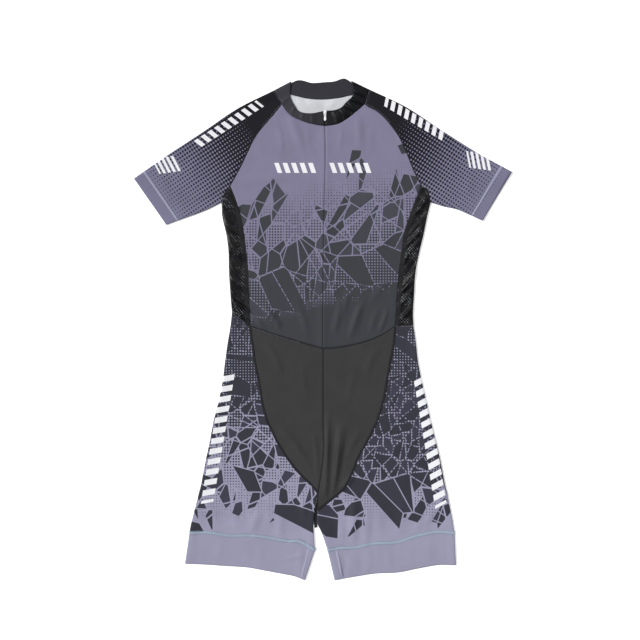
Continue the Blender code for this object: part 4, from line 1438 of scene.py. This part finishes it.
def back_cloth(both, fine):
    right, left = both["right"], both["left"]
    top = joined(right["raglan_back"], back_neck(both, fine), left["raglan_back"][::-1])
    waist = spaced(joined(right["waist"], left["waist"][::-1]), len(top) - 1)
    grid = patch(waist, top, right["side_seam"], left["side_seam"])
    return flat_back(pull_back(grid, HALF_GAP, HALF_GAP, HALF_GAP, HALF_GAP))


def seat_cloth(both, fine):
    """The seat, whose upper rows bend into the waist seam and whose others lie level."""
    right, left = both["right"], both["left"]
    levels = np.linspace(WAIST_Y, SEAT_TIP_Y, len(right["hip_seam"]) + len(right["thigh_seam"]))
    rims = []
    for lines in (right, left):
        seam = joined(lines["hip_seam"], lines["thigh_seam"], lines["inseam"])
        rims.append(np.column_stack([np.interp(-levels, -seam[:, 1], seam[:, 0]), levels]))
    waist = joined(right["waist"], left["waist"][::-1])
    grid = np.stack([spaced(ends, len(waist) - 1) for ends in zip(*rims)])
    bent = SEAT_BENT_STEPS * fine
    grid[: bent + 1] = patch(waist, grid[bent], *[rim[: bent + 1] for rim in rims])
    return flat_back(pull_back(grid, HALF_GAP, HALF_GAP, HALF_GAP, HALF_GAP))


class SKATING_OT_body(bpy.types.Operator):
    """Makes the upper front, back, mesh sides, plain shorts and seat"""

    bl_idname = "skating.body"
    bl_label = "Body"

    def execute(self, context):
        fine = context.scene.suit_cloth.fineness
        both = {side: side_lines(side, fine) for side in SIDES}
        zip_line = run(ZIP_LINE, TORSO_STEPS * fine)
        for side, lines in both.items():
            add_cloth("front_" + side, front_cloth(lines, zip_line))
            add_cloth("side_mesh_" + side, side_mesh_cloth(lines, fine))
            add_cloth("short_front_" + side, short_front_cloth(lines))
        add_cloth("back", back_cloth(both, fine))
        add_cloth("seat", seat_cloth(both, fine))
        return {"FINISHED"}


def sleeve_cloth(lines, fine):
    layers = []
    for raglan in (lines["raglan"], lines["raglan_back"]):
        neck = spaced([lines["shoulder"][0], raglan[-1]], fine)
        inner_end = joined(neck, raglan[::-1], lines["armpit"])
        cuff = spaced([lines["shoulder"][-1], lines["under"][-1]], len(inner_end) - 1)
        grid = patch(inner_end, cuff, lines["shoulder"], lines["under"])
        layers.append(pull_back(grid, near=HALF_GAP))
    return tube(*layers)


def leg_cloth(lines, fine):
    seam = joined(lines["hip_seam"], lines["thigh_seam"], lines["inseam"])
    waist = spaced([lines["hip_seam"][0], lines["leg_fold"][0]], LEG_STEPS * fine)
    grid = patch(waist, lines["band_seam"], seam, lines["leg_fold"])
    grid = pull_back(grid, HALF_GAP, HALF_GAP, HALF_GAP)
    below_crotch = np.arange(len(seam)) / fine - (HIP_STEPS + ACROSS_FRONT)
    return wrapped(grid, grid, turn=np.clip(below_crotch / 2, 0, 1))


def band_cloth(lines, fine):
    seam, hem = lines["band_seam"], lines["hem"]
    ends = [spaced([seam[k], hem[k]], BAND_STEPS * fine) for k in (0, -1)]
    grid = pull_back(patch(seam, hem, *ends), near=HALF_GAP)
    # The rows run from the outer fold, so that the print map breaks at the inseam
    return tube(grid[:, ::-1], grid[:, ::-1])


class SKATING_OT_limbs(bpy.types.Operator):
    """Makes the sleeves, the printed legs and the leg bands"""

    bl_idname = "skating.limbs"
    bl_label = "Sleeves and legs"

    def execute(self, context):
        fine = context.scene.suit_cloth.fineness
        for side in SIDES:
            lines = side_lines(side, fine)
            for node, cloth, slot in (
                ("sleeve_" + side, sleeve_cloth(lines, fine), "printed_knit"),
                ("short_side_" + side, leg_cloth(lines, fine), "printed_knit"),
                ("leg_band_" + side, band_cloth(lines, fine), "band_knit"),
            ):
                add_cloth(node, cloth)
        return {"FINISHED"}


def collar_front_cloth(lines, fine):
    shoulder = lines["shoulder"][0]
    seam = joined(lines["neckline"][::-1], spaced([lines["neckline"][0], shoulder], fine))
    seam = spaced(seam, (NECK_STEPS + 1) * 2 * fine)
    edge = spaced(lines["collar_edge"], len(seam) - 1)
    ends = [spaced([seam[k], edge[k]], COLLAR_STEPS * fine) for k in (0, -1)]
    grid = pull_back(patch(seam, edge, *ends), near=HALF_GAP, start=ZIP_SLOT / 2)
    lift = COLLAR_WALL - WALL
    arc, front, _ = fold_turn(grid, grid, -1, -2, lift)
    front_run = lifted(front, rise(front) + lift)[:, :-1]
    return Cloth(np.concatenate([front_run, arc], axis=1), 0, front_run.shape[1])


def collar_back_cloth(both, fine):
    neck = back_neck(both, fine)
    shoulders = [both[side]["shoulder"][0] for side in SIDES]
    seam = joined(spaced([shoulders[0], neck[0]], fine), neck, spaced([neck[-1], shoulders[1]], fine))
    edge = run([section[2:] for section in COLLAR_BACK], len(seam) - 1)
    ends = [spaced([seam[k], edge[k]], COLLAR_STEPS * fine) for k in (0, -1)]
    grid = patch(seam, edge, *ends)
    inset = [(rise(grid[:, k]) + COLLAR_WALL - WALL) / 2 + 2 * SEAM_GAP for k in (0, -1)]
    return flat_back(pull_back(grid, near=HALF_GAP, start=inset[0], end=inset[1]))


class SKATING_OT_collar(bpy.types.Operator):
    """Makes the stand collar"""

    bl_idname = "skating.collar"
    bl_label = "Collar"

    def execute(self, context):
        fine = context.scene.suit_cloth.fineness
        both = {side: side_lines(side, fine) for side in SIDES}
        pieces = {"collar_front_" + side: collar_front_cloth(both[side], fine) for side in SIDES}
        pieces["collar_back"] = collar_back_cloth(both, fine)
        for node, cloth in pieces.items():
            add_cloth(node, cloth, wall=COLLAR_WALL)
        return {"FINISHED"}


# Sewing, in mm: how deep a raised seam's edges sink in, and how thick a thread is
RIBBON_SINK = 0.25
RIBBON_STEPS = 8
THREAD_RADIUS = 0.28
FINE_THREAD_RADIUS = 0.24
COVER_THREAD_RADIUS = 0.34
LINE_STEP = 2.0
TILT_REACH = 0.5
BACK_SINK = 0.15
LEAST_THREAD_HEIGHT = -0.2
STITCH_LIFTS = (-0.1, 0.22, -0.1)
ZIGZAG_LIFT = 0.05
HEM_DEPTH = 24.0
# Where each leg band is sewn to a ring, from its join down to its hem
BAND_CLOSING = {"right": [(-29, -439), (-43, -493)], "left": [(27, -441), (38, -495)]}
# Tape on the tip of the seat, where the inseams meet: partly real seam tape, partly a dark strip put as
# painted shade in the gap between the legs
CROTCH_TAPE_AND_SHADE = [(-12, -350), (-14, -365), (-15.5, -380), (-14, -395)]
CROTCH_TAPE_HEIGHT = 1.0
# Width and height of each raised seam
SHORTS_SEAM = (5.4, 0.5)
BODY_SEAM = (2.2, 0.3)
WAIST_SEAM = (2.0, 0.25)
SIDE_BINDING = (9.0, 0.3)
BACK_SEAM = (4.0, 0.3)
BACK_NECK_SEAM = (3.0, 0.3)
BAND_JOIN = (5.0, 0.35)
CLOSING_SEAM = (4.4, 0.4)
HEM_JOIN = (3.4, 0.25)
CENTRE_RIDGE = (3.0, 0.4)
CROTCH_SEAM = (6.0, 0.5)
# Width and pitch of each zigzag, and the height of the seam under it
SHORTS_ZIGZAG = (5.0, 2.6, 0.5)
BODY_ZIGZAG = (2.2, 2.4, 0.3)
BAND_ZIGZAG = (6.4, 2.2, 0.35)
CENTRE_ZIGZAG = (3.0, 2.4, 0.4)
# Rows of straight stitches: how far beside a seam's middle, how long, and the gap between them
NECK_STITCH = (1.8, 2.4, 2.2)
SHOULDER_STITCH = (1.6, 2.4, 0.8)
COVER_STITCH = (3.6, 2.6, 0.6)
INNER_COVER_STITCH = (6.4, 2.6, 0.6)
CLOSING_STITCH = (2.6, 2.4, 0.7)
HEM_STITCH = (1.6, 2.4, 0.7)
# How much of a line has stitches, in steps of the solids
STITCHED_RAGLAN_STEPS = 2
STITCHED_WAIST_STEPS = 7


class Track(NamedTuple):
    """A line on the cloth: points and outward normals, and whether it goes all round."""

    points: np.ndarray
    normals: np.ndarray
    closed: bool = False


def even(line):
    """A line in steps of about LINE_STEP."""
    line = np.asarray(line, float)
    return spaced(line, max(4, round(lengths(line)[-1] / LINE_STEP)))


def front_track(line):
    """A track on the front layer over a line in the plane."""
    line = even(line)
    reach = TILT_REACH
    tilt = [(rise(line + step) - rise(line - step)) / (2 * reach) for step in ((reach, 0), (0, reach))]
    normal = np.column_stack([-tilt[0], -tilt[1], np.ones(len(line))])
    return Track(lifted(line, rise(line)), normal / np.linalg.norm(normal, axis=1)[:, None])


def back_track(line):
    """A track on the underside below a line in the plane."""
    line = even(line)
    return Track(lifted(line, floor_rise(line) + BACK_SINK), np.tile((0.0, 0.0, -1.0), (len(line), 1)))


def row_track(cloth, inset=0.0, from_far_end=False):
    """A track along the rows of a piece of cloth, all round it, this far in from its near or far end."""
    points, normals = cloth.points, outward_normals(cloth)
    if from_far_end:
        points, normals = points[::-1], normals[::-1]
    found, ways = [], []
    for column in range(points.shape[1]):
        line = points[:, column]
        gone = lengths(line)
        found.append(at_lengths(line, [inset], gone)[0])
        ways.append(at_lengths(normals[:, column], [inset], gone)[0])
    ways = np.array(ways)
    return Track(np.array(found), ways / np.linalg.norm(ways, axis=1)[:, None], cloth.closed)


def sideways(track):
    """Unit steps across a track, in the cloth's own face."""
    return unit_cross(track.normals, change(track.points, 0, track.closed))


def ribbon(track, width, height):
    """A low rounded band along a track, its edges sunk into the cloth."""
    across = sideways(track)
    columns = []
    for place in np.linspace(-1, 1, RIBBON_STEPS + 1):
        up = (height + RIBBON_SINK) * math.sqrt(max(0.0, 1 - place**4)) - RIBBON_SINK
        columns.append(track.points + across * place * width / 2 + track.normals * up)
    return np.stack(columns, axis=1)


def on_track(track, places, offsets, lifts):
    """Points at these lengths along a track, this far to its side and above it."""
    gone = lengths(track.points)
    points = at_lengths(track.points, places, gone)
    across = at_lengths(sideways(track), places, gone)
    normals = at_lengths(track.normals, places, gone)
    return points + across * np.reshape(offsets, (-1, 1)) + normals * np.reshape(lifts, (-1, 1))


def zigzag(track, width, pitch, height):
    """One thread that goes from side to side over a seam of this height."""
    count = max(2, round(lengths(track.points)[-1] / pitch))
    places = np.linspace(0, lengths(track.points)[-1], 4 * count + 1)
    beat = np.arange(4 * count + 1) % 4
    offsets = np.array([-1, 0, 1, 0])[beat] * width / 2
    lifts = np.where(beat % 2 == 0, ZIGZAG_LIFT, height + THREAD_RADIUS / 2)
    return [on_track(track, places, offsets, lifts)]


def stitches(track, sizes, side=1):
    """A row of short straight stitches beside a track, on its other side where side is -1."""
    offset, stitch, gap = sizes
    rows = []
    for start in np.arange(0, lengths(track.points)[-1] - stitch, stitch + gap):
        places = np.linspace(start, start + stitch, len(STITCH_LIFTS))
        rows.append(on_track(track, places, [side * offset] * len(STITCH_LIFTS), STITCH_LIFTS))
    return rows


def stitched_twice(track, sizes):
    return stitches(track, sizes) + stitches(track, sizes, -1)


def add_ribbons(name, tracks, width, height, finish="raised_seam"):
    """Raised seams along several tracks, as one piece."""
    shape = bmesh.new()
    for track in tracks:
        grid = ribbon(track, width, height)
        middle = grid.shape[0] // 2, grid.shape[1] // 2
        wanted = (*middle, track.normals[middle[0]])
        mesh = grid_mesh(name, grid, closed=track.closed, wanted=wanted)
        shape.from_mesh(mesh)
        bpy.data.meshes.remove(mesh)
    return add_piece(name, mesh_of(name, shape), [sewing(finish)])


def add_threads(name, rows, finish, radius=THREAD_RADIUS):
    """Thread along several rows of points, as one piece."""
    curve = bpy.data.curves.new(name, "CURVE")
    curve.dimensions = "3D"
    curve.bevel_depth = radius * MM
    curve.bevel_resolution = 0
    curve.use_fill_caps = True
    for row in rows:
        spline = curve.splines.new("POLY")
        spline.points.add(len(row) - 1)
        height = np.maximum(row[:, 2], LEAST_THREAD_HEIGHT)
        flat = np.column_stack([row[:, :2] * MM, height * MM, np.ones(len(row))])
        spline.points.foreach_set("co", flat.reshape(-1))
    source = bpy.data.objects.new(name + "_path", curve)
    bpy.context.scene.collection.objects.link(source)
    bpy.context.view_layer.update()
    tube_mesh = bpy.data.meshes.new_from_object(source.evaluated_get(bpy.context.evaluated_depsgraph_get()))
    bpy.data.objects.remove(source)
    shape = bmesh.new()
    shape.from_mesh(tube_mesh)
    bpy.data.meshes.remove(tube_mesh)
    bmesh.ops.remove_doubles(shape, verts=shape.verts, dist=SAME_POINT)
    return add_piece(name, mesh_of(name, shape), [sewing(finish)])


def sew_body(side, sign, lines, fine):
    """The seams of the shorts, the sides, the raglan, the waist and the neck, and the binding of the side."""
    legs = joined(lines["hip_seam"], lines["thigh_seam"])
    leg_track, body_track = front_track(legs), front_track(joined(lines["side_seam"], lines["raglan"]))
    add_ribbons("shorts_seam_" + side, [leg_track], *SHORTS_SEAM)
    add_ribbons("body_seam_" + side, [body_track], *BODY_SEAM)
    crossing = [front_track(lines["waist"]), front_track(lines["neckline"])]
    add_ribbons("waist_seam_" + side, crossing, *WAIST_SEAM)
    binding = front_track(lines["side_seam"][: -2 * fine] + (sign * SIDE_BINDING[0] / 2, 0))
    add_ribbons("side_binding_" + side, [binding], *SIDE_BINDING)
    hidden = [legs, lines["waist"], joined(lines["side_seam"], lines["raglan_back"])]
    add_ribbons("back_seam_" + side, [back_track(line) for line in hidden], *BACK_SEAM)
    sewn = zigzag(leg_track, *SHORTS_ZIGZAG) + zigzag(body_track, *BODY_ZIGZAG)
    add_threads("seam_thread_" + side, sewn, "dark_thread")


def sew_neck(side, sign, lines, fine):
    """The straight stitches round the neck, down the raglan and over the shoulder, and along the waist at
    the right."""
    neck = front_track(lines["neckline"])
    raglan = front_track(lines["raglan"][-STITCHED_RAGLAN_STEPS * fine :])
    shoulder = front_track([lines["neckline"][0], lines["shoulder"][0]])
    sewn = stitches(neck, NECK_STITCH, sign) + stitches(raglan, NECK_STITCH, -sign)
    sewn += stitched_twice(shoulder, SHOULDER_STITCH)
    if side == "right":
        waist = front_track(lines["waist"][: STITCHED_WAIST_STEPS * fine])
        sewn += stitches(waist, NECK_STITCH, -1)
    add_threads("neck_stitch_" + side, sewn, "grey_thread", FINE_THREAD_RADIUS)


def sew_band(side, lines, fine):
    """The join of a leg band with its cover stitches, and the seam that closes the band to a ring."""
    join = row_track(band_cloth(lines, fine))
    add_ribbons("band_join_" + side, [join], *BAND_JOIN, "band_join")
    inner = front_track(lines["band_seam"][: fine + 2])
    cover = zigzag(join, *BAND_ZIGZAG) + stitched_twice(join, COVER_STITCH)
    cover += stitched_twice(inner, INNER_COVER_STITCH)
    add_threads("cover_stitch_" + side, cover, "pale_thread", COVER_THREAD_RADIUS)
    closing = front_track(BAND_CLOSING[side])
    add_ribbons("band_closing_" + side, [closing], *CLOSING_SEAM, "hem_join")
    closed = stitched_twice(closing, CLOSING_STITCH)
    add_threads("closing_stitch_" + side, closed, "pale_thread")


def sew_hem(side, lines, fine):
    hem = row_track(sleeve_cloth(lines, fine), HEM_DEPTH, from_far_end=True)
    add_ribbons("hem_join_" + side, [hem], *HEM_JOIN, "hem_join")
    add_threads("hem_stitch_" + side, stitched_twice(hem, HEM_STITCH), "pale_thread")


class SKATING_OT_seams(bpy.types.Operator):
    """Sews the raised seams, the bindings and their threads"""

    bl_idname = "skating.seams"
    bl_label = "Seams"

    def execute(self, context):
        fine = context.scene.suit_cloth.fineness
        both = {side: side_lines(side, fine) for side in SIDES}
        for sign, (side, lines) in zip((-1, 1), both.items()):
            sew_body(side, sign, lines, fine)
            sew_neck(side, sign, lines, fine)
            sew_band(side, lines, fine)
            sew_hem(side, lines, fine)
        centre = front_track(both["left"]["centre_seam"])
        add_ribbons("centre_seam", [centre], *CENTRE_RIDGE)
        add_threads("centre_thread", zigzag(centre, *CENTRE_ZIGZAG), "dark_thread")
        # The crotch tape is partly painted shade: dark in the gap between the legs
        tape = smooth_line(CROTCH_TAPE_AND_SHADE)
        over = Track(lifted(tape, CROTCH_TAPE_HEIGHT), np.tile((0.0, 0.0, 1.0), (len(tape), 1)))
        add_ribbons("crotch_tape", [over], *CROTCH_SEAM)
        add_ribbons("back_neck_seam", [back_track(back_neck(both, fine))], *BACK_NECK_SEAM)
        return {"FINISHED"}


# The zip, in mm: the height and thickness of its tape, how far short of the line it stops, and its teeth
TAPE_HEIGHT = 2.4
TAPE_WALL = 0.8
TAPE_ROWS = 160
TAPE_COLUMNS = 9
ZIP_END = 4.0
TOOTH_RADIUS = 0.42
TOOTH_LENGTH = 1.3
TOOTH_SHIFT = 0.12
TOOTH_RISE = 0.5
# Turns a tooth from upright to lying across the zip
LYING = Matrix(((0, 0, 1, 0), (1, 0, 0, 0), (0, 1, 0, 0), (0, 0, 0, 1)))


class SKATING_OT_zip(bpy.types.Operator):
    """Makes the zip, and finishes its slider and pull tab"""

    bl_idname = "skating.zip"
    bl_label = "Zip"

    tape_width: metres("Tape width", "Width of the tape", 0.010)
    tooth_pitch: metres("Tooth pitch", "Distance between teeth", 0.0013)

    def execute(self, context):
        line = smooth_line([*ZIP_LINE, ZIP_TOP])
        total = lengths(line)[-1]
        rows = at_lengths(line, np.linspace(ZIP_END, total - ZIP_END, TAPE_ROWS))
        half = self.tape_width / MM / 2
        columns = [lifted(rows + (x, 0), TAPE_HEIGHT) for x in np.linspace(-half, half, TAPE_COLUMNS)]
        wanted = (TAPE_ROWS // 2, TAPE_COLUMNS // 2, (0, 0, 1))
        tape = grid_mesh("zip_tape", np.stack(columns, axis=1), wanted=wanted)
        obj = add_piece("zip_tape", tape, [sewing("zip_tape_weave")])
        add_wall(obj, TAPE_WALL)
        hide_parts("zip_chain")

        shape = bmesh.new()
        pitch = self.tooth_pitch / MM
        radius, depth = TOOTH_RADIUS * MM, TOOTH_LENGTH * MM
        for k in range(int((total - 2 * ZIP_END) / pitch)):
            middle_x, middle_y = at_lengths(line, [ZIP_END + (k + 0.5) * pitch])[0]
            side = TOOTH_SHIFT if k % 2 else -TOOTH_SHIFT
            place = Vector((middle_x + side, middle_y, TAPE_HEIGHT + TOOTH_RISE)) * MM
            bmesh.ops.create_cone(
                shape, cap_ends=True, segments=6, radius1=radius, radius2=radius, depth=depth,
                matrix=Matrix.Translation(place) @ LYING,
            )
        teeth = mesh_of("zip_teeth", shape, smooth=False)
        add_piece("zip_teeth", teeth, [sewing("zip_coil")])

        enamel = material("white_enamel", enamel_finish, context.scene.suit_colours.enamel)
        for node in ("zip_slider", "zip_pull"):
            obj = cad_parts[node]
            for index in range(len(obj.material_slots)):
                obj.material_slots[index].material = enamel
        return {"FINISHED"}


# The floor, in metres: how far below the suit, so that no sewing sinks into it, and how far it goes on
FLOOR_DROP = 0.0006
FLOOR_REACH = 30.0
# Each lamp's width in degrees, and where it shines from
KEY_LAMP = (22, (-0.88, 0.16, 0.96))
FILL_LAMP = (70, (0.5, 0.7, 1.0))
WHITE = (1, 1, 1, 1)
FLOOR_TONES = ((0.93, 0.93, 0.93, 1), (0.95, 0.95, 0.95, 1))


class SKATING_OT_stage(bpy.types.Operator):
    """Sets the floor, the lights and the camera"""

    bl_idname = "skating.stage"
    bl_label = "Studio"

    def execute(self, context):
        stage = context.scene.suit_stage
        shape = bmesh.new()
        bmesh.ops.create_grid(shape, x_segments=1, y_segments=1, size=FLOOR_REACH)
        bmesh.ops.translate(shape, verts=shape.verts, vec=(0, 0, -FLOOR_DROP))
        floor = bpy.data.objects.new("floor", mesh_of("floor", shape, smooth=False))
        paper = Finish("floor_paper", roughness=0.9)
        paper.shader.inputs["Emission Color"].default_value = WHITE
        paper.shader.inputs["Emission Strength"].default_value = stage.glow
        grain = paper.ramp(paper.noise(paper.place(), 0.3), 0.2, 0.8)
        floor.data.materials.append(paper.finish(paper.mix(grain, *FLOOR_TONES)))
        context.scene.collection.objects.link(floor)

        self.light("key", stage.key, *KEY_LAMP)
        self.light("fill", stage.fill, *FILL_LAMP)
        world = bpy.data.worlds.new("studio")
        world.use_nodes = True
        sky = world.node_tree.nodes["Background"].inputs
        sky["Color"].default_value = WHITE
        sky["Strength"].default_value = stage.sky
        context.scene.world = world
        context.scene.view_settings.view_transform = "Standard"

        camera = bpy.data.objects.new("camera", bpy.data.cameras.new("camera"))
        camera.data.lens = stage.lens
        camera.data.clip_end = 50
        away = stage.view_width * stage.lens / camera.data.sensor_width
        camera.location = (*stage.middle, away)
        context.scene.collection.objects.link(camera)
        context.scene.camera = camera
        return {"FINISHED"}

    def light(self, name, strength, width, place):
        """A wide soft lamp far away in the direction of a place, whose width is in degrees."""
        data = bpy.data.lights.new(name, "SUN")
        data.energy = strength
        data.angle = math.radians(width)
        lamp = bpy.data.objects.new(name, data)
        lamp.location = place
        aim = -lamp.location
        lamp.rotation_euler = aim.to_track_quat("-Z", "Y").to_euler()
        bpy.context.scene.collection.objects.link(lamp)


OPERATORS = [
    SKATING_OT_stage, SKATING_OT_body, SKATING_OT_limbs, SKATING_OT_collar, SKATING_OT_seams, SKATING_OT_zip,
]
GROUPS = {"suit_cloth": SuitCloth, "suit_colours": SuitColours, "suit_stage": SuitStage}


class SKATING_PT_suit(bpy.types.Panel):
    """Sizes, colours and steps of the suit"""

    bl_idname = "SKATING_PT_suit"
    bl_label = "Speed skating suit"
    bl_space_type = "VIEW_3D"
    bl_region_type = "UI"
    bl_category = "Suit"

    def draw(self, context):
        for name, group in GROUPS.items():
            box = self.layout.box()
            for prop in group.__annotations__:
                box.prop(getattr(context.scene, name), prop)
        for operator in OPERATORS:
            self.layout.operator(operator.bl_idname)


def register():
    for item in (*GROUPS.values(), *OPERATORS, SKATING_PT_suit):
        bpy.utils.register_class(item)
    for name, group in GROUPS.items():
        setattr(bpy.types.Scene, name, PointerProperty(type=group))


def unregister():
    for name in GROUPS:
        delattr(bpy.types.Scene, name)
    for item in reversed((*GROUPS.values(), *OPERATORS, SKATING_PT_suit)):
        bpy.utils.unregister_class(item)


def main():
    register()
    bpy.ops.skating.stage()
    bpy.ops.skating.body()
    bpy.ops.skating.limbs()
    bpy.ops.skating.collar()
    bpy.ops.skating.seams()
    bpy.ops.skating.zip()


if __name__ == "__main__":
    main()
